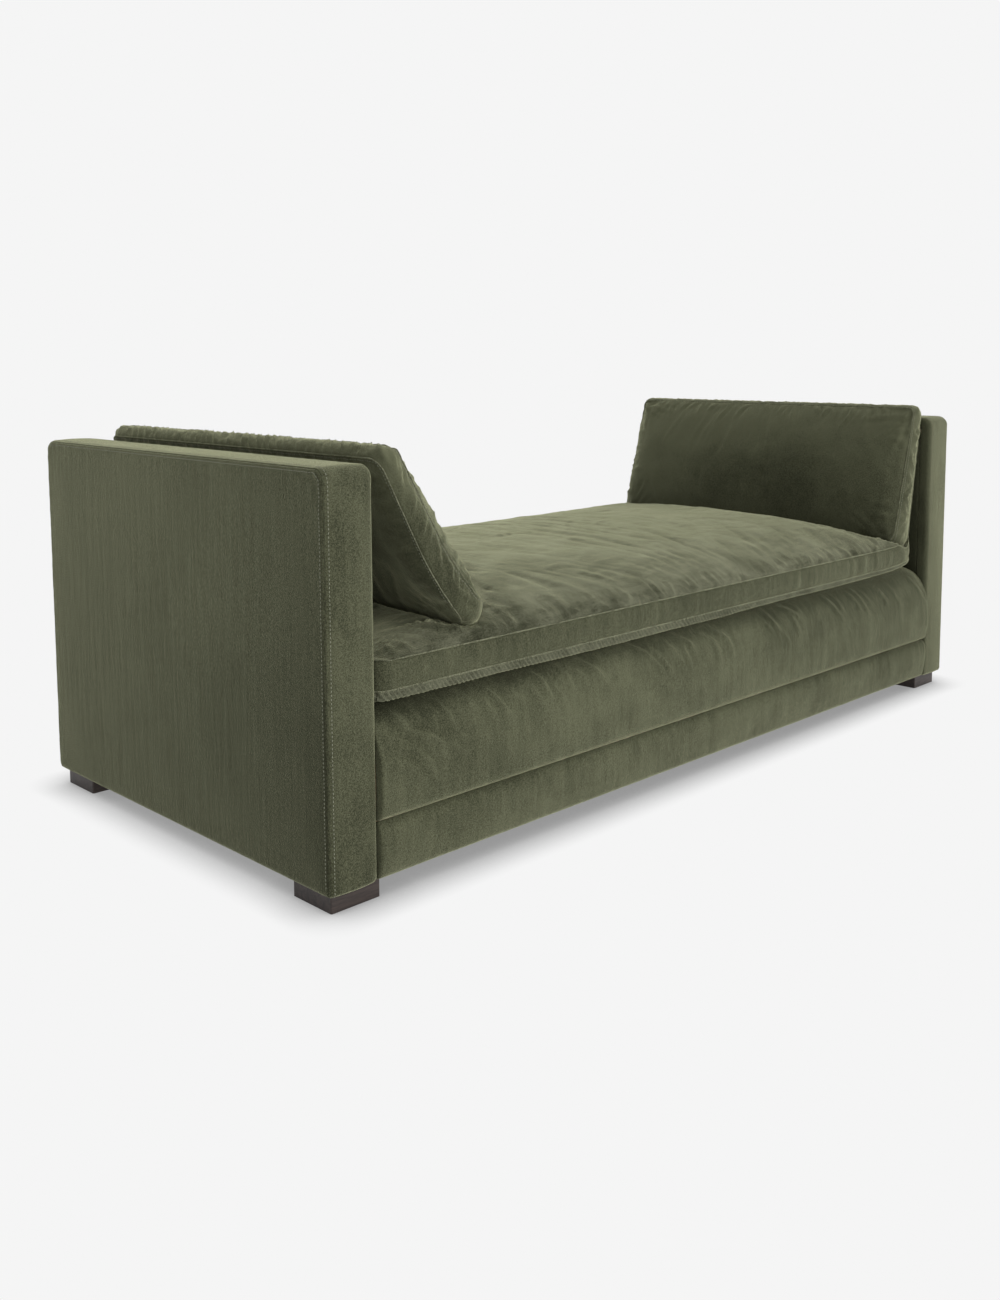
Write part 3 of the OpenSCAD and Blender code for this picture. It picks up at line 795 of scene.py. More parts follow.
def rim_of(rows, columns):
    """The points round the rim of a grid, in order."""
    low = np.arange(columns)
    right = np.arange(1, rows) * columns + columns - 1
    top = (rows - 1) * columns + np.arange(columns - 2, -1, -1)
    left = np.arange(rows - 2, 0, -1) * columns
    return np.concatenate([low, right, top, left])


def rim_outward(a, b, rim):
    """For each point of a rim, the direction in its plane that points away from the panel."""
    ahead = unit(np.stack([np.roll(v[rim], -1) - np.roll(v[rim], 1) for v in (a, b)], 1))
    return np.stack([ahead[:, 1], -ahead[:, 0]], 1)


def arm_panel(side, outer, sink=0.0):
    """A side panel of an arm. outer says which side; sink shrinks it, for the foam beneath."""
    gather = 0.008 if outer else 0.034
    half, low, high = HALF_DEPTH - gather, HEM_Z + 0.008, ARM_TOP - gather
    ends = [0, 0.003, 0.006, 0.010, 0.015, 0.021, 0.028]
    ys, zs = panel_lines(-half, half, ends, 0.011), panel_lines(low, high, ends, 0.011)
    z, y = (g.ravel() for g in np.meshgrid(zs, ys, indexing="ij"))
    y, z, edge = bend_corners(y, z, half, low, high, 0.006, max(0.024 - gather, 0.012))
    shape = (len(zs), len(ys))
    rim = rim_of(*shape)
    out = rim_outward(y, z, rim)
    flat = np.stack([np.zeros(len(y)), y, z], 1)
    puff = 0.0028 if outer else 0.0012
    wave = puff * (1 - np.exp(-edge / 0.05))
    wave += 0.0009 * soft_noise(flat, 0.12, 5 + side) * np.clip(edge / 0.03, 0, 1)
    corner = np.exp(-(np.hypot(np.abs(y) - half, z - high) / 0.07) ** 2)
    wave += (0.0006 + 0.0016 * corner) * np.exp(-edge / 0.014) * soft_noise(flat, 0.012, 41 + side)
    face = 0.0 if outer else ARM_THICK
    sign = -1.0 if outer else 1.0
    across = face + sign * wave - sign * sink
    points = [on_arm(side, across, y, z)]
    faces = [quads(*shape, flip=(side < 0) == outer)]
    if outer:
        seam = [(0.0032, 0.0004), (0.0048, 0.0014), (0.0053, 0.0026), (0.0046, 0.0040), (0.0030, 0.0050)]
    else:
        seam = [(0.0030, 0.0003), (0.0052, 0.0010), (0.0066, 0.0022), (0.0076, 0.0044)]
    hem = [(0.0040, 0.0006), (0.0066, 0.0022), (0.0080, 0.0050), (0.0080, 0.0110), (0.0080, 0.0180)]
    under = np.clip(-out[:, 1], 0, 1) ** 2
    count, first, last = len(rim), len(y), rim
    for k in range(len(seam)):
        gone, sunk = (seam[k][i] * (1 - under) + hem[k][i] * under for i in (0, 1))
        ring = on_arm(side, face + sign * (wave[rim] * max(0.0, 1 - k / 3)) - sign * (sunk + sink),
                      y[rim] + out[:, 0] * (gone - sink), z[rim] + out[:, 1] * (gone - sink * (1 - under)))
        points.append(ring)
        now = first + k * count + np.arange(count)
        strip = np.stack([last, np.roll(last, -1), np.roll(now, -1), now], 1)
        faces.append(strip if (side < 0) == outer else strip[:, ::-1])
        last = now
    return np.concatenate(points), np.concatenate(faces), rim


print("arm outline run", round(arm_outline()[2][-1], 3), "m")

# %% Arms: bands, panels, topstitching
for side, word in ((-1, "left"), (1, "right")):
    points, faces, (rows, columns) = arm_band(side)
    panel, panel_faces, rim = arm_panel(side, True)
    inner, inner_faces, _ = arm_panel(side, False)
    for title, node, shape, finish in (
        ("band_cover", "band", (points, faces), front_velvet),
        ("outside_cover", "outside_panel", (panel, panel_faces), arm_velvet),
        ("inside_cover", "inside_panel", (inner, inner_faces), arm_velvet),
    ):
        make_piece(f"{word}_arm_{title}", *shape, finish, "daybed_frame", "velvet",
                   [f"{word}_arm_{node}"], 0.85)
    grid = points.reshape(rows, columns, 3)
    lift = normals_of(points, faces).reshape(rows, columns, 3)
    out = normals_of(panel, panel_faces)
    loop = rim[panel[rim, 2] > HEM_Z + 0.012]
    start = int(np.argmax(np.abs(np.diff(np.r_[panel[loop, 1], panel[loop[0], 1]])) > 0.5)) + 1
    loop = np.roll(loop, -start)
    rows_of_stitches = [(grid[5:-5, 6], lift[5:-5, 6]), (panel[loop], out[loop])]
    stitched(f"{word}_arm_topstitch", rows_of_stitches, thread, "daybed_frame")
    print(word, "arm:", len(points) + len(panel) + len(inner), "points")

# %% [markdown]
# ## Foam under the covers
# Under the velvet lies a sheet of foam. It is the same shape as the cover, a few
# millimetres smaller, so the covers' own functions make it again with a sink value.

# %% Arm foam
ARM_FOAM_SINK, BASE_FOAM_SINK = 0.004, 0.0045
for side, word in ((-1, "left"), (1, "right")):
    parts = arm_band(side, ARM_FOAM_SINK), *(arm_panel(side, outer, ARM_FOAM_SINK) for outer in (True, False))
    make_piece(f"{word}_arm_foam", *joined(part[:2] for part in parts), foam, "daybed_frame", "foam",
               [f"{word}_arm_padding"], 0.9)

# %% [markdown]
# ## The base
# Between the arms a deck of springs carries the seat cushion. Its front has two strips of
# velvet: a low band over the rail, and a taller border that bulges over the seam between
# them, rolls over a soft edge and ends under the cushion. The back is made the same way.
# Both strips are one profile each, drawn in depth and height and pulled along the length.

# %% Profiles of the base
def smooth_profile(points, step):
    """A curve through the given (out, z) points, with even steps."""
    points = np.array(points, float)
    run = np.r_[0, np.cumsum(np.linalg.norm(np.diff(points, axis=0), axis=1))]
    at = np.linspace(0, run[-1], max(2, round(run[-1] / step)))
    fine = np.stack([np.interp(at, run, points[:, i]) for i in (0, 1)], 1)
    for _ in range(6):
        fine[1:-1] = fine[1:-1] * 0.5 + (fine[:-2] + fine[2:]) * 0.25
    return fine


ROLL = [(0.0005 - 0.060 * (1 - math.cos(math.radians(a))), 0.280 + 0.0605 * math.sin(math.radians(a)))
        for a in range(8, 91, 8)]
RAIL_PROFILE = smooth_profile([
    (-0.022, 0.0343), (-0.008, 0.0343), (-0.0025, 0.0352), (0.0005, 0.0385), (0.0015, 0.044), (0.0065, 0.070),
    (0.0085, 0.095), (0.0075, 0.118), (0.0045, 0.130), (0.0010, 0.1345), (-0.0045, 0.1378),
], 0.0035)
BORDER_PROFILE = smooth_profile([
    (-0.0045, 0.1386), (0.0025, 0.1392), (0.0075, 0.1425), (0.0105, 0.152), (0.0122, 0.175), (0.0128, 0.205),
    (0.0115, 0.235), (0.0075, 0.262), *ROLL, (-0.066, 0.3405),
], 0.0045)


def base_strip(face, profile, seed, sink=0.0, creases=()):
    """One strip of the base. face is -1 at the front and 1 at the back."""
    ends = [0, 0.0012, 0.003, 0.0055, 0.009, 0.013, 0.018, 0.026]
    reach = ARM_INNER - 0.0004 - 2.5 * sink
    xs = panel_lines(-reach, reach, ends, 0.0085)
    xs = np.r_[xs[0], xs, xs[-1]]
    rows, columns = len(xs), len(profile)
    cap = np.zeros(rows)
    cap[[0, -1]] = 0.0130
    x, out = np.repeat(xs, columns), np.tile(profile[:, 0], rows)
    z = np.tile(profile[:, 1], rows)
    end = reach - np.abs(x)
    roll = 1 - np.sqrt(np.clip(1 - (1 - np.clip(end / 0.006, 0, 1)) ** 2, 0, 1))
    droop = np.clip((z - 0.25) / 0.09, 0, 1) * np.exp(-(end / 0.03) ** 2)
    out = out - 0.0040 * roll - 0.010 * droop - np.repeat(cap, columns) - sink
    z = z - 0.010 * droop
    points = np.stack([x, face * (HALF_DEPTH + out), z - sink * (z > 0.3)], 1)
    faces = quads(rows, columns, flip=face < 0)
    normals = normals_of(points, faces)
    low, high = profile[:, 1].min(), profile[:, 1].max()
    share = np.clip((z - low) / (high - low), 0, 1)
    middle = np.clip(np.sin(np.pi * share), 0, 1) ** 0.5
    lift = 0.0024 * middle * soft_noise(points, (0.16, 1, 0.07), seed)
    lift += 0.0011 * middle * soft_noise(points, (0.035, 1, 0.09), seed + 3)
    seam = np.exp(-np.abs(z - RAIL_SEAM_Z) / 0.012)
    lift += 0.0009 * seam * soft_noise(points, (0.016, 1, 0.05), seed + 5)
    lift += 0.0012 * np.exp(-end / 0.02) * soft_noise(points, (0.05, 1, 0.018), seed + 7)
    lift += creases_seen_along(1, points, creases, face)
    lift[np.repeat(cap, columns) > 0] = 0
    return points + normals * lift[:, None], faces


# %% [markdown]
# ### Pull lines
# The border is pulled up and sideways as it goes under the cushion. Each pull line is a
# short bent path with a width and a height, drawn by lot from a fixed seed, and there are
# more of them near the left arm.

# %% Pull lines where the border goes under the cushion
rng = np.random.default_rng(7)
DRAG = []
for n in range(70):
    x = -ARM_INNER + 0.02 + 1.88 * rng.random() ** 1.5
    lean = 0.020 + 0.050 * rng.random()
    top, fall = 0.325 - 0.015 * rng.random(), 0.025 + 0.055 * rng.random()
    y = -HALF_DEPTH - 0.004
    path = bow((x, y + 0.016, top), (x + lean, y - 0.004, top - fall), (0.004, 0, 0.004))
    DRAG.append((path, 0.0032 + 0.0030 * rng.random(), 0.0016 + 0.0018 * rng.random()))
for n in range(22):
    x, z = -ARM_INNER + 0.004 + 0.14 * rng.random() ** 1.3, 0.20 + 0.10 * rng.random()
    stop = (x + 0.05 + 0.06 * rng.random(), -HALF_DEPTH - 0.012, z - 0.03 - 0.03 * rng.random())
    path = bow((x, -HALF_DEPTH - 0.006, z), stop, (0, 0, 0.010))
    DRAG.append((path, 0.0040 + 0.002 * rng.random(), 0.0022))

# %% Base: strips at the front and back
for face, word in ((-1, "front"), (1, "back")):
    folds = DRAG if face < 0 else [(path * [-1, -1, 1], width, height) for path, width, height in DRAG]
    for profile, title, node, creases in (
        (RAIL_PROFILE, "rail_band_cover", "rail_band", ()),
        (BORDER_PROFILE, "border_cover", "border", folds),
    ):
        make_piece(f"{word}_{title}", *base_strip(face, profile, 60 + face, creases=creases),
                   base_velvet, "daybed_frame", "velvet", [f"{word}_{node}"], 0.8)
    under = [base_strip(face, profile, 60 + face, BASE_FOAM_SINK)
             for profile in (RAIL_PROFILE, BORDER_PROFILE)]
    make_piece(f"{word}_base_foam", *joined(under), foam, "daybed_frame", "foam", [f"{word}_padding"], 0.9)
    print(word, "base strips made")

# %% [markdown]
# ## Loose cushions
# A box cushion has a top and a bottom panel, and a strip of boxing between them. The
# panels are cut flat and the filling pushes them up, so the surface rises steeply at the
# seams and levels out in the middle. All three cushions here are made by one function:
# it works lying flat, with the filling's height given as a function of the distance to
# each edge, and the finished cushion is then turned and put in its place.

# %% The shell of a box cushion
def swell(distance, reach, steep):
    """0 at a seam, 1 from reach inwards: the rounded rise of a filled panel."""
    t = np.clip(distance / reach, 0, 1)
    return (1 - (1 - t) ** 2.2) ** steep


class Shell:
    """The points of a box cushion and what each one is."""

    def __init__(self, half_x, half_y, corner, step, box_rows):
        ends = [0, 0.0022, 0.0048, 0.008, 0.012, 0.017, 0.023, 0.030, 0.038]
        xs, ys = (panel_lines(-half, half, ends, step) for half in (half_x, half_y))
        y, x = (g.ravel() for g in np.meshgrid(ys, xs, indexing="ij"))
        self.rows, self.columns = len(ys), len(xs)
        radius = corner(x, y)
        self.x, self.y, self.edge = bend_corners(x, y, half_x, -half_y, half_y, radius, radius)
        self.from_end, self.from_side = half_x - np.abs(self.x), half_y - np.abs(self.y)
        self.rim = rim_of(self.rows, self.columns)
        self.out = rim_outward(self.x, self.y, self.rim)
        self.panel, self.around, self.box_rows = len(self.x), len(self.rim), box_rows
        self.share = (np.arange(box_rows) + 1) / (box_rows + 1)

    def build(self, top, bottom, bulge):
        """Points and faces. top and bottom are the panels' heights, bulge the boxing's."""
        panel, rim = self.panel, self.rim
        upper = np.stack([self.x, self.y, top], 1)
        lower = np.stack([self.x, self.y, bottom], 1)
        rows = []
        for share in self.share:
            height = top[rim] * (1 - share) + bottom[rim] * share
            push = bulge * math.sin(math.pi * share) ** 0.7
            rows.append(np.column_stack([self.x[rim] + self.out[:, 0] * push,
                                         self.y[rim] + self.out[:, 1] * push, height]))
        points = np.concatenate([upper, lower, *rows])
        faces = [quads(self.rows, self.columns), quads(self.rows, self.columns, panel, flip=True)]
        boxing = 2 * panel + np.arange(self.box_rows * self.around).reshape(self.box_rows, self.around)
        self.loops = [rim, *boxing, rim + panel]
        for above, below in zip(self.loops, self.loops[1:]):
            faces.append(np.stack([above, below, np.roll(below, -1), np.roll(above, -1)], 1))
        return points, np.concatenate(faces)

    def kinds(self):
        """For every point: is it on top, is it boxing, how far is its seam, its share of the way down."""
        box = self.box_rows * self.around
        top = np.r_[np.ones(self.panel), np.zeros(self.panel + box)]
        boxing = np.r_[np.zeros(2 * self.panel), np.ones(box)]
        boxing[np.r_[self.rim, self.rim + self.panel]] = 0.5
        edge = np.r_[self.edge, self.edge, np.zeros(box)]
        share = np.r_[np.zeros(self.panel), np.ones(self.panel), np.repeat(self.share, self.around)]
        return top, boxing, edge, share

    def beside_seam(self, inset):
        """A loop of points on the lower panel, a few grid lines in from its seam."""
        grid = np.arange(self.panel).reshape(self.rows, self.columns)
        grid = grid[inset:self.rows - inset, inset:self.columns - inset]
        return np.concatenate([grid[0], grid[1:, -1], grid[-1, -2::-1], grid[-2:0:-1, 0]]) + self.panel


# %% [markdown]
# ## Letting the cloth settle
# Real folds come from cloth that has a little more length than the shape beneath it. The
# panels are sewn fast along their seams, then a cloth simulation makes them two per cent
# too large and blows softly from inside. They buckle into folds that no formula would give.
# Only the short folds are kept, each point may move a few millimetres, and the slow swell
# of the whole panel is taken out again, so the cushion keeps its size.

# %% Cloth simulation
def neighbour_mean(values, faces, count, rounds):
    """Smooths a value per point by averaging it over the faces around, a number of times."""
    share = np.bincount(faces.ravel(), minlength=count)
    for _ in range(rounds):
        over_face = values[faces].mean(1)
        total = [np.bincount(faces.ravel(), np.repeat(over_face[:, i], 4), count) for i in range(3)]
        values = np.stack(total, 1) / np.maximum(share, 1)[:, None]
    return values


CLOTH_EXCESS, CLOTH_STEPS, SWELL_ROUNDS = 0.02, 20, 60


def settled(points, faces, pinned, cap):
    """Moves the points of a shell as cloth moves, with the pinned points (0 to 1) held in place."""
    mesh = bpy.data.meshes.new("settling")
    mesh.from_pydata(points.tolist(), [], faces.tolist())
    piece = bpy.data.objects.new("settling", mesh)
    bpy.context.scene.collection.objects.link(piece)
    group = piece.vertex_groups.new(name="sewn")
    for level in np.unique(np.round(pinned, 1)):
        if level > 0:
            group.add(np.flatnonzero(np.round(pinned, 1) == level).tolist(), float(level), "REPLACE")
    cloth = piece.modifiers.new("cloth", "CLOTH")
    rules = cloth.settings
    rules.quality = 3
    rules.mass = 0.25
    rules.tension_stiffness = rules.compression_stiffness = 12
    rules.shear_stiffness = 4
    rules.bending_stiffness = 0.03
    rules.shrink_min = -CLOTH_EXCESS
    rules.vertex_group_mass = "sewn"
    rules.use_pressure = True
    rules.uniform_pressure_force = 1.5
    rules.effector_weights.gravity = 0
    cloth.collision_settings.use_collision = False
    scene = bpy.context.scene
    for number in range(1, CLOTH_STEPS + 1):
        scene.frame_set(number)
    shown = piece.evaluated_get(bpy.context.evaluated_depsgraph_get())
    moved = np.array([v.co for v in shown.data.vertices]) - points
    scene.frame_set(1)
    bpy.data.objects.remove(piece)
    folds = moved - neighbour_mean(moved, faces, len(points), SWELL_ROUNDS)
    size = np.linalg.norm(folds, axis=1)
    print("folds up to", round(float(size.max()), 4), "before the cap of", cap)
    limit = cap * np.tanh(size / cap) / np.maximum(size, 1e-9)
    return points + folds * (limit * (1 - pinned))[:, None]


# %% [markdown]
# ## The end cushions
# Each stands on its edge and leans on an arm. Its weight has pushed its lower edge out and
# made it thicker there. The boxing along its top is a little long for the panels, so it
# gathers into slanting folds, and the panels pucker along their seams.

# %% Place and posture of the end cushions
CUSHION_TALL, CUSHION_HALF = 0.372, 0.459
LEANS = {"left": (-1, 0.232, 0.436, 29.0), "right": (1, 0.106, 0.405, 11.4)}


def lean_on_arm(word, points):
    """Turns a cushion that was made lying flat so that it leans on its arm."""
    side, foot, height, angle = LEANS[word]
    turn = math.radians(angle)
    origin = np.array([side * (ARM_INNER - foot), 0.0, height])
    along = np.array([0.0, -side, 0.0])
    up = np.array([side * math.sin(turn), 0.0, math.cos(turn)])
    front = np.array([-side * math.cos(turn), 0.0, math.sin(turn)])
    return origin + points[:, :1] * along + (points[:, 1:2] + CUSHION_TALL / 2) * up + points[:, 2:] * front


def end_cushion(word, step, shrink=0.0):
    """The shell of one end cushion, still lying flat, and its plain points and faces."""
    top_corner = 0.028 if word == "left" else 0.016
    shell = Shell(CUSHION_HALF - shrink, CUSHION_TALL / 2 - shrink,
                  lambda x, y: np.where(y < 0, 0.034, top_corner), step, 9)
    tall = (shell.y + CUSHION_TALL / 2) / CUSHION_TALL
    slump = np.clip(1 - tall * CUSHION_TALL / 0.2, 0, 1) ** 2
    if word == "left":
        half, shift = 0.0205 + 0.0070 * (1 - tall), 0.027 * slump - 0.003 * tall
    else:
        half, shift = 0.0205 + 0.0185 * (1 - tall), -0.0010 - 0.0060 * tall
    reach = 0.055 + 0.10 * tall
    if word == "right":
        reach = np.where(shell.x > 0, 0.20, reach)
    rise = swell(shell.from_end, reach, 0.55) * swell(shell.from_side, 0.17, 0.80)
    fullness = 1 + 0.10 * (1 - tall)
    top = shift + half + 0.044 * rise * fullness - shrink
    bottom = shift - half - 0.008 * swell(shell.edge, 0.06, 0.8) + shrink
    low_end, high_end = (np.clip(sign * shell.out[:, 1], 0, 1) for sign in (-1, 1))
    return shell, *shell.build(top, bottom, 0.0080 + 0.0110 * low_end + 0.0030 * high_end)


def end_creases(seed):
    """Pull creases of an end cushion, lying flat: off the corners and in from the seams."""
    luck = np.random.default_rng(seed)
    folds = []
    for n in range(90):
        x = (luck.random() * 2 - 1) * CUSHION_HALF * 0.96
        side = 1 if n % 2 else -1
        y = side * CUSHION_TALL / 2
        run = 0.020 + 0.050 * luck.random()
        path = bow((x, y * 0.99, 0.032), (x + (luck.random() - 0.5) * 0.06, y - side * run, 0.055),
                   ((luck.random() - 0.5) * 0.012, 0, 0.004))
        folds.append((path, 0.0032 + 0.003 * luck.random(), 0.0016 + 0.0018 * luck.random()))
    for n in range(30):
        y = (luck.random() * 2 - 1) * CUSHION_TALL * 0.46
        side = 1 if n % 2 else -1
        x = side * CUSHION_HALF
        run = 0.020 + 0.060 * luck.random()
        stop = (x - side * run, y + (luck.random() - 0.5) * 0.05, 0.055)
        path = bow((x * 0.995, y, 0.032), stop, (0, 0.004, 0.004))
        folds.append((path, 0.0035 + 0.003 * luck.random(), 0.0016 + 0.0016 * luck.random()))
    for sx in (-1, 1):
        for sy in (-1, 1):
            for n in range(6):
                angle = math.radians(8 + 74 * (n + luck.random() * 0.6) / 6)
                run = 0.05 + 0.10 * luck.random()
                start = (sx * (CUSHION_HALF - 0.012), sy * (CUSHION_TALL / 2 - 0.012), 0.034)
                stop = (start[0] - sx * run * math.cos(angle), start[1] - sy * run * math.sin(angle), 0.058)
                folds.append((bow(start, stop, (0.006, -0.006, 0.004)), 0.0050, 0.0032))
    return folds


def boxing_creases(seed, middle):
    """Crossing folds on the two short sides of the boxing. middle is their height, lying flat."""
    luck = np.random.default_rng(seed + 50)
    folds = []
    for n in range(44):
        x = (1 if n % 2 else -1) * (CUSHION_HALF + 0.006)
        y = (luck.random() - 0.42) * CUSHION_TALL * 0.95
        slant = (0.020 + 0.035 * luck.random()) * (1 if luck.random() < 0.65 else -1)
        first, last = (0.022, -0.006) if n % 3 else (0.006, -0.020)
        path = bow((x, y + slant / 2, middle + first), (x, y - slant / 2, middle + last), (0, 0.004, 0))
        folds.append((path, 0.0034 + 0.0020 * luck.random(), 0.0026 + 0.0024 * luck.random()))
    return folds


def dress_end_cushion(word, shell, points, faces):
    """Adds the gathers, puckers and creases of an end cushion that lies flat."""
    seed = 300 if word == "left" else 400
    top, boxing, edge, share = shell.kinds()
    normals = normals_of(points, faces)
    x, y, z = points.T
    lift = 0.0022 * (1 - boxing) * np.clip(edge / 0.05, 0, 1) * soft_noise(points, 0.11, seed)
    lift += 0.0007 * (1 - boxing) * np.clip(edge / 0.02, 0, 1) * soft_noise(points, 0.035, seed + 1)
    pucker = np.exp(-edge / 0.013) * (boxing < 0.7)
    lift += 0.0013 * pucker * soft_noise(points, (0.012, 0.012, 0.05), seed + 2)
    inside = (boxing > 0.7) * np.sin(np.pi * np.clip(share, 0, 1)) ** 0.6
    on_top = np.clip((y - CUSHION_TALL / 2 + 0.03) / 0.02, 0, 1)
    phase = x / 0.024 + 1.5 * share + 1.3 * soft_noise(points, (0.08, 1, 1), seed + 4)
    gather = 1 - 2 * np.abs(np.sin(np.pi * phase)) ** 0.8
    strength = 0.0022 + 0.0024 * noise(points, (0.06, 1, 1), seed + 5)
    lift += (1.0 if word == "left" else 0.35) * inside * on_top * np.clip(strength, 0.0002, 0.0046) * gather
    ends = inside * (1 - on_top)
    lift += 0.0026 * ends * soft_noise(np.stack([x, y + 0.8 * z, z - y], 1), (0.05, 0.024, 0.09), seed + 6)
    lift += creases_seen_along(2, points, end_creases(seed)) * (boxing < 0.7) * (0.35 + 0.65 * top)
    for path, width, height in boxing_creases(seed, float(z[boxing > 0.7].mean())):
        lift += crease(points, normals, path, width, height) * inside
    return points + normals * lift[:, None]


def line_on(points, normals, loop, place):
    """A line over a cushion's points, put in its place, and the directions that point away from it."""
    base = place(points[loop])
    return base, place(points[loop] + normals[loop]) - base


def sew_seams(name, shell, points, normals, place, radius, lift, wobble, body):
    """The raised seams round both panels of a cushion, as one mesh."""
    lines = [line_on(points, normals, shell.loops[n], place) for n in (0, -1)]
    tubes = [ridge_along(*line, radius, lift, wobble) for line in lines]
    # The seam ridges wear the lighter seam velvet, a painted highlight.
    make_piece(name, *joined(tubes), seam_velvet_painted_highlight, body, "velvet")


# %% End cushions
END_STEP = 0.006
FILLING_STEP = 0.03
cushion_trees = []
for word in ("left", "right"):
    shell, points, faces = end_cushion(word, END_STEP)
    sewn = np.zeros(len(points))
    sewn[np.r_[shell.loops[0], shell.loops[-1]]] = 1.0
    points = settled(points, faces, sewn, cap=0.0034 if word == "left" else 0.0022)
    points = dress_end_cushion(word, shell, points, faces)
    body = f"{word}_end_cushion"

    def place(flat, word=word):
        return lean_on_arm(word, flat)

    stood = place(points)
    make_piece(f"{word}_cushion_velvet", stood, faces, cushion_velvet, body, "velvet",
               [f"{word}_end_cushion_cover"], 0.75)
    cushion_trees.append(BVHTree.FromPolygons(stood.tolist(), faces.tolist()))
    normals = normals_of(points, faces)
    sew_seams(f"{word}_cushion_seams", shell, points, normals, place, 0.0013, 0.0004, 0.35, body)
    stitched(f"{word}_cushion_topstitch", [
        line_on(points, normals, np.r_[loop, loop[0]], place)
        for loop in (shell.loops[1], shell.beside_seam(2))
    ], thread, body)
    _, inner_points, inner_faces = end_cushion(word, FILLING_STEP, shrink=0.007)
    make_piece(f"{word}_cushion_filling", place(inner_points), inner_faces, wadding, body, "wadding",
               [f"{word}_end_cushion_fill"], 0.75)
    print(word, "end cushion:", len(points), "points")

# %% [markdown]
# ## The seat cushion
# It is one wide cushion with a soft crown. Where the end cushions stand it is pressed down,
# so the script looks straight up from each point of its top: if an end cushion is above,
# the point goes just under it, and the cloth around sinks in a soft slope. Under its low
# seam the velvet is gathered, and a strip of its own is fine enough to show those cords.

# %% Shape of the seat cushion
SEAT_HALF_X, SEAT_HALF_Y = SEAT_HIGH.x, SEAT_HIGH.y
SEAT_SEAM, SEAT_LOW_SEAM, SEAT_UNDER, SEAT_CROWN = 0.410, 0.359, 0.3415, 0.085


def seat_cushion(step, shrink=0.0, gap=0.004):
    """The seat cushion's shell, its plain points and faces, and how far its top is pressed down."""
    shell = Shell(SEAT_HALF_X - shrink, SEAT_HALF_Y - shrink,
                  lambda x, y: np.where(x > 0, 0.120, 0.030), step, 9)
    rise = swell(shell.from_side, 0.48, 0.5) * swell(shell.from_end, 0.42, 0.45)
    rise *= 1 - 0.28 * np.exp(-((shell.x + 0.90) / 0.13) ** 2)
    top = SEAT_SEAM - shrink + SEAT_CROWN * rise
    bottom = SEAT_LOW_SEAM - (SEAT_LOW_SEAM - SEAT_UNDER) * swell(shell.edge, 0.030, 0.65) + shrink
    hang = np.exp(-((shell.from_side - 0.014) / 0.012) ** 2) * np.clip(shell.from_end / 0.35, 0, 1)
    curl = 0.018 * np.exp(-((SEAT_HALF_X - shell.x) / 0.11) ** 2)
    free, bottom = top + curl, bottom + curl - 0.0040 * hang
    top = pressed(shell, free, cushion_trees, gap)
    return shell, *shell.build(top, np.minimum(bottom, top - 0.004), 0.0045), free - top


def pressed(shell, height, trees, gap):
    """Lowers the top of the seat to just under whatever stands on it, with a soft slope around."""
    limit = np.full(shell.panel, 9.0)
    for n in range(shell.panel):
        for tree in trees:
            hit = tree.ray_cast(Vector((shell.x[n], shell.y[n], 0.34)), Vector((0, 0, 1)), 0.6)[0]
            if hit is not None:
                limit[n] = min(limit[n], hit.z - gap)
    x, y = (v.reshape(shell.rows, shell.columns) for v in (shell.x, shell.y))
    limit = limit.reshape(shell.rows, shell.columns)
    across = 0.5 * np.hypot(np.diff(x, axis=1), np.diff(y, axis=1))
    down = 0.5 * np.hypot(np.diff(x, axis=0), np.diff(y, axis=0))
    for _ in range(40):
        limit[:, 1:] = np.minimum(limit[:, 1:], limit[:, :-1] + across)
        limit[:, :-1] = np.minimum(limit[:, :-1], limit[:, 1:] + across)
        limit[1:] = np.minimum(limit[1:], limit[:-1] + down)
        limit[:-1] = np.minimum(limit[:-1], limit[1:] + down)
    gapped = limit.ravel() - height
    soft = 0.006
    return height + np.where(gapped < soft, -((soft - gapped) ** 2) / (4 * soft) * (gapped > -soft)
                             + np.where(gapped <= -soft, gapped, 0), 0)


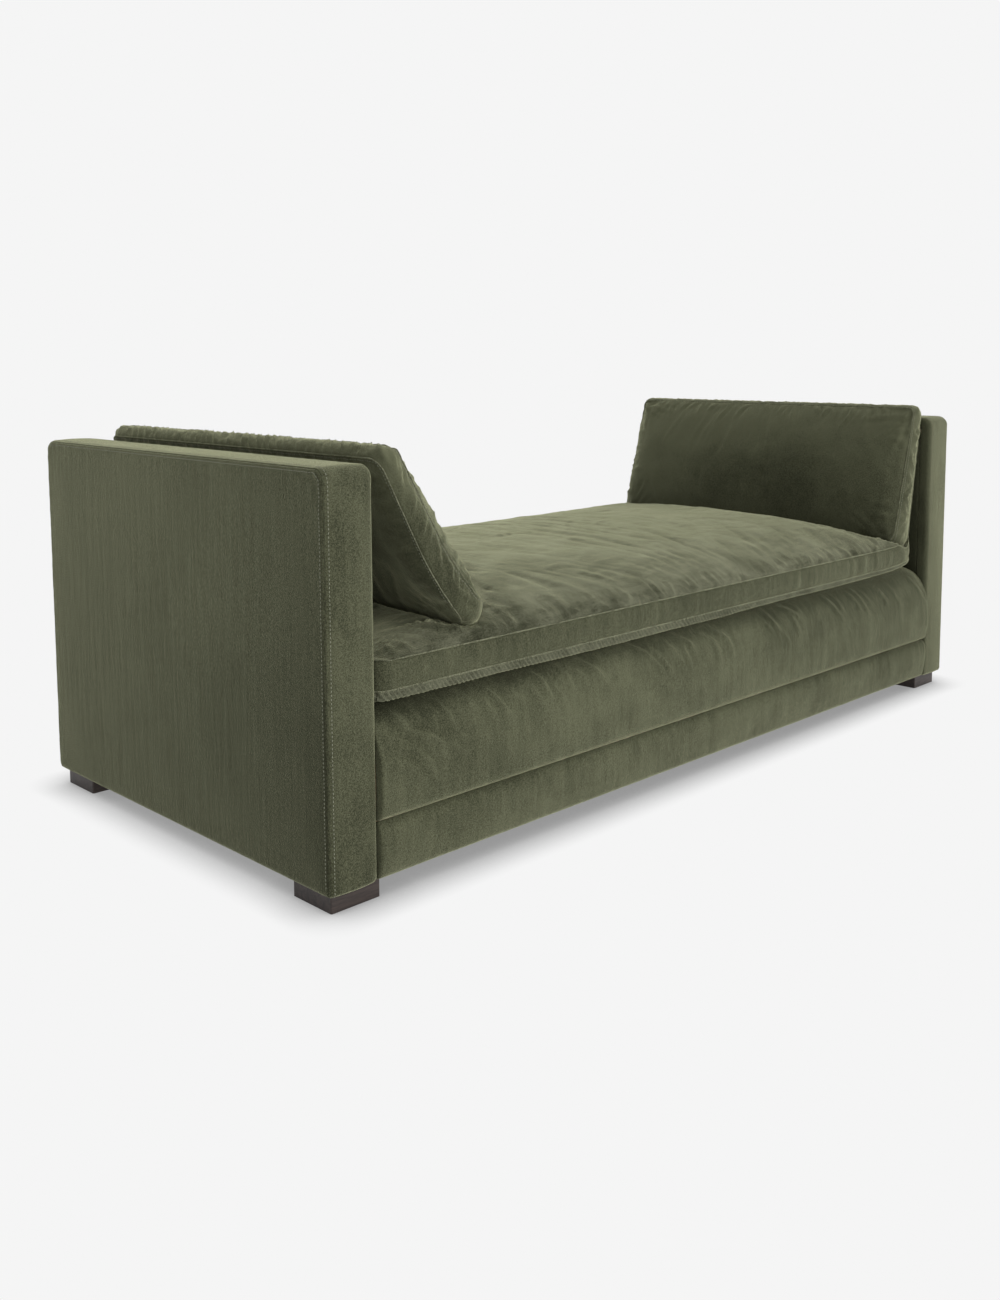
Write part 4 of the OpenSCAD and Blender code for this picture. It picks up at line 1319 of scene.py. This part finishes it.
def seat_creases():
    """Pull creases on the seat: off the left cushion's foot, and in from the seams."""
    luck = np.random.default_rng(5)
    folds = []
    for n in range(15):
        along = n / 14
        start = (-0.955 + 0.165 * along + 0.010 * luck.random(),
                 -0.448 + 0.060 * math.sin(math.pi * along), 0)
        reach = 0.035 + 0.050 * math.sin(math.pi * along) + 0.012 * luck.random()
        stop = (start[0] + reach, -0.472 + 0.010 * luck.random() * along, 0)
        folds.append((bow(start, stop, (0.012, 0.012, 0)), 0.0038 + 0.0012 * luck.random(),
                      0.0034 + 0.0016 * luck.random()))
    for n in range(12):
        x = -ARM_INNER + 0.20 + 0.13 * n / 12
        path = bow((x, -0.440, 0.438), (x + 0.010 + 0.02 * luck.random(), -0.474, 0.417), (0.004, 0, 0.003))
        folds.append((path, 0.0032, 0.0030))
    for n in range(150):
        x = (luck.random() * 2 - 1) * 0.93
        face = -1 if n % 3 else 1
        run = 0.012 + 0.035 * luck.random()
        path = bow((x, face * 0.476, 0.412), (x + (luck.random() - 0.5) * 0.03, face * (0.476 - run), 0.432),
                   ((luck.random() - 0.5) * 0.01, 0, 0.003))
        folds.append((path, 0.0030 + 0.0026 * luck.random(), 0.0014 + 0.0016 * luck.random()))
    for n in range(260):
        x, y = (luck.random() * 2 - 1) * 0.85, (luck.random() * 2 - 1) * 0.43
        turn, run = luck.random() * math.pi, 0.025 + 0.075 * luck.random()
        rise = 0.410 + 0.085 * (1 - (1 - (0.4775 - abs(y)) / 0.48) ** 2.2) ** 0.5
        path = bow((x, y, rise), (x + run * math.cos(turn), y + run * math.sin(turn) * 0.5, rise),
                   (0.01, 0.01, 0))
        folds.append((path, 0.0055 + 0.0045 * luck.random(), 0.0007 + 0.0011 * luck.random()))
    return folds


def dress_seat(shell, points, faces):
    """Adds the waves, puckers, gathers and creases of the seat cushion."""
    top, boxing, edge, share = shell.kinds()
    normals = normals_of(points, faces)
    x, y, z = points.T
    above = top * (boxing < 0.7)
    lift = 0.0030 * above * np.clip(edge / 0.06, 0, 1) * soft_noise(points, (0.13, 0.11, 1), 501)
    lift += 0.0013 * above * np.clip(edge / 0.02, 0, 1) * soft_noise(points, (0.05, 0.04, 1), 502)
    lift += 0.0018 * above * np.exp(-edge / 0.014) * soft_noise(points, (0.014, 0.014, 1), 503)
    inside = (boxing > 0.7) * np.sin(np.pi * np.clip(share, 0, 1)) ** 0.6
    lift += (0.0009 + 0.0009 * (x > 0.3)) * inside * soft_noise(points, (0.020, 0.020, 0.15), 504)
    lift += 0.0016 * inside * soft_noise(points, (0.14, 0.14, 0.08), 505)
    under = (1 - top) * (boxing < 0.7) * np.exp(-((edge - 0.010) / 0.010) ** 2)
    slanted = np.stack([x + 2.4 * edge, y + 2.4 * edge, z], 1)
    lift += 0.0026 * under * soft_noise(slanted, (0.017, 0.017, 1), 506)
    lift += creases_seen_along(2, points, seat_creases()) * above
    return points + normals * lift[:, None]


GATHER_STEP, CORD_PITCH, CORD_HEIGHT = 0.0016, 0.0110, 0.0028


def gathered_edge(shell, points, normals):
    """A finer strip along the low seam, whose velvet is gathered into slanting cords."""
    loop = np.r_[shell.loops[-1], shell.loops[-1][0]]
    index, share = walk(points[loop], GATHER_STEP)
    seam = points[loop][index] * (1 - share)[:, None] + points[loop][index + 1] * share[:, None]
    out = unit(normals[loop][index] * [1, 1, 0])
    run = np.arange(len(seam)) * GATHER_STEP
    deep = 0.0165 * (1 - 0.35 * np.clip(seam[:, 0] / 0.9, -0.4, 1)) * (1 + 0.10 * noise(seam, 0.16, 77))
    rows = []
    for k in range(9):
        turn = math.pi * 0.62 * k / 8
        cord = np.sin(math.tau * (run / CORD_PITCH - 2.2 * k / 8 + 0.8 * noise(seam, 0.05, 78)))
        raised = CORD_HEIGHT * (1 + 0.5 * noise(seam, 0.03, 79)) * cord
        raised *= math.sin(math.pi * min(1, 0.10 + k / 8))
        ahead, down = math.cos(turn), -0.45 * math.cos(turn) + 0.55 * math.sin(turn)
        sideways = (0.45 * math.sin(turn) - 0.55 * (1 - math.cos(turn))) * deep + ahead * raised
        rows.append(seam + out * sideways[:, None]
                    - np.array([0, 0, 1.0]) * (math.sin(turn) * deep + down * raised - 0.0004)[:, None])
    return np.stack(rows, 1).reshape(-1, 3), quads(len(seam), 9)


# %% Seat cushion
SEAT_STEP = 0.0075
shell, points, faces, sunk = seat_cushion(SEAT_STEP)
held = (sunk > 0.004).astype(float)
held[shell.rim] = 1.0
points[:shell.panel] = settled(points[:shell.panel], quads(shell.rows, shell.columns), held, cap=0.0019)
points = dress_seat(shell, points, faces)
seat = make_piece("seat_cushion_velvet", points, faces, seat_velvet, "seat_cushion", "velvet",
                  ["seat_cushion_cover"], 0.8)
seat.data.materials.append(boxing_velvet)
for face in seat.data.polygons[2 * (shell.rows - 1) * (shell.columns - 1):]:
    face.material_index = 1
normals = normals_of(points, faces)
sew_seams("seat_cushion_seams", shell, points, normals, np.asarray, 0.0014, 0.0008, 0.55, "seat_cushion")
# The gathered strip wears the lighter gathered velvet: painted sheen.
make_piece("seat_cushion_gathers", *gathered_edge(shell, points, normals), gathered_velvet_painted_sheen,
           "seat_cushion", "velvet")
print("seat cushion:", len(points), "points")

# %% [markdown]
# ## What is inside the seat
# The seat cushion has a foam core in a layer of wadding. The deck below it is foam on a
# sheet of burlap over the springs, with a velvet cloth on top where the border ends. Under
# the base a black dust cloth closes the frame. The cloths are tacked along their edges and
# sag a little between them, so each is a real sheet of its cut size, not a board.

# %% Fillings
for title, node, shrink, finish, slot_name in (
    ("seat_cushion_wadding", "seat_cushion_wrap", 0.009, wadding, "wadding"),
    ("seat_cushion_foam", "seat_cushion_core", 0.022, foam, "foam"),
):
    _, inner_points, inner_faces, _ = seat_cushion(FILLING_STEP, shrink, shrink + 0.006)
    make_piece(title, inner_points, inner_faces, finish, "seat_cushion", slot_name, [node], 0.8)

DECK_RING = smooth_profile([
    (-0.010, 0.2825), (-0.0065, 0.290), *[(o - 0.006, z - 0.005) for o, z in ROLL[1:-1]],
    (-0.075, 0.3345), (-0.20, 0.3348), (-0.46, 0.3350),
], 0.012)
DECK_LINES = 80
rows = []
for x in np.linspace(-ARM_INNER + 0.012, ARM_INNER - 0.012, DECK_LINES):
    front_half = np.column_stack([np.full(len(DECK_RING), x), -HALF_DEPTH - DECK_RING[:, 0], DECK_RING[:, 1]])
    back_half = front_half[::-1] * [1, -1, 1]
    rows.append(np.concatenate([front_half, back_half]))
width = len(rows[0])
deck_points = np.concatenate(rows)
deck_faces = quads(DECK_LINES, width, closed=True, flip=True).tolist()
deck_faces += [list(range(width)), list(range((DECK_LINES - 1) * width, DECK_LINES * width))[::-1]]
make_piece("deck_foam_pad", deck_points, deck_faces, foam, "daybed_frame", "foam", ["deck_foam"], 0.9)


# %% Stretched cloths
def stretched_cloth(name, node, finish, slot_name, sag, z, ripple, step=0.02):
    """A sheet tacked along its edges over the place of a CAD node, with a little sag."""
    low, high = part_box(node)
    xs = np.linspace(low.x, high.x, round((high.x - low.x) / step) + 1)
    ys = np.linspace(low.y, high.y, round((high.y - low.y) / step) + 1)
    y, x = (g.ravel() for g in np.meshgrid(ys, xs, indexing="ij"))
    inward = np.minimum(np.minimum(x - low.x, high.x - x), np.minimum(y - low.y, high.y - y))
    drop = sag * (1 - np.exp(-inward / 0.12))
    flat = np.stack([x, y, np.zeros(len(x))], 1)
    drop = drop + ripple * soft_noise(flat, 0.09, 71) * np.clip(inward / 0.03, 0, 1)
    points = np.stack([x, y, z - drop], 1)
    piece = make_piece(name, points, quads(len(ys), len(xs)), finish, "daybed_frame", slot_name, [node])
    print(name, "cut", round(high.x - low.x, 3), "x", round(high.y - low.y, 3), "m")


deck_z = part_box("deck_cloth")[0].z
stretched_cloth("deck_burlap", "deck_cloth", burlap, "burlap", 0.0, deck_z + 0.001, 0.0003)
stretched_cloth("deck_velvet_sheet", "deck_cover", base_velvet, "velvet", 0.0006, DECK_Z - 0.0004, 0.0006)
stretched_cloth("dust_cloth", "dust_cover", lining, "lining", 0.004, HEM_Z - 0.0012, 0.0008)

# %% [markdown]
# ## The parts that keep their shape
# Wood, springs, bolts and feet are right as they come from the frame. They keep their
# meshes and get a finish. Stained wood catches the light on its edges, so the feet have
# a very small bevel, as if sanded before staining.

# %% Finishes for the frame's own pieces
KEPT = {
    pine_tall: ["_arm_front_post", "_arm_back_post"],
    pine_deep: ["_arm_top_rail", "_arm_bottom_rail", "_end_rail", "cross_rails", "corner_blocks"],
    hardboard: ["_arm_outer_board", "_arm_inner_board"],
    pine_long: ["front_rail", "back_rail"],
    spring_wire: ["zigzag_springs", "tie_wires"],
    zinc: ["spring_clips", "arm_bolts", "foot_bolts"],
    espresso: ["_foot"],
}
for title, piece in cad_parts.items():
    for finish, endings in KEPT.items():
        if any(title.endswith(ending) for ending in endings) and not piece.hide_render:
            piece.data.materials.clear()
            piece.data.materials.append(finish)
    if title.endswith("_foot"):
        edge = piece.modifiers.new("sanded_edges", "BEVEL")
        edge.width = 0.0014
        edge.segments = 3
        edge.limit_method = "ANGLE"
plain = [n for n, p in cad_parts.items() if not p.hide_render and p.data.materials[0] not in KEPT]
print("frame pieces without a new finish:", plain)
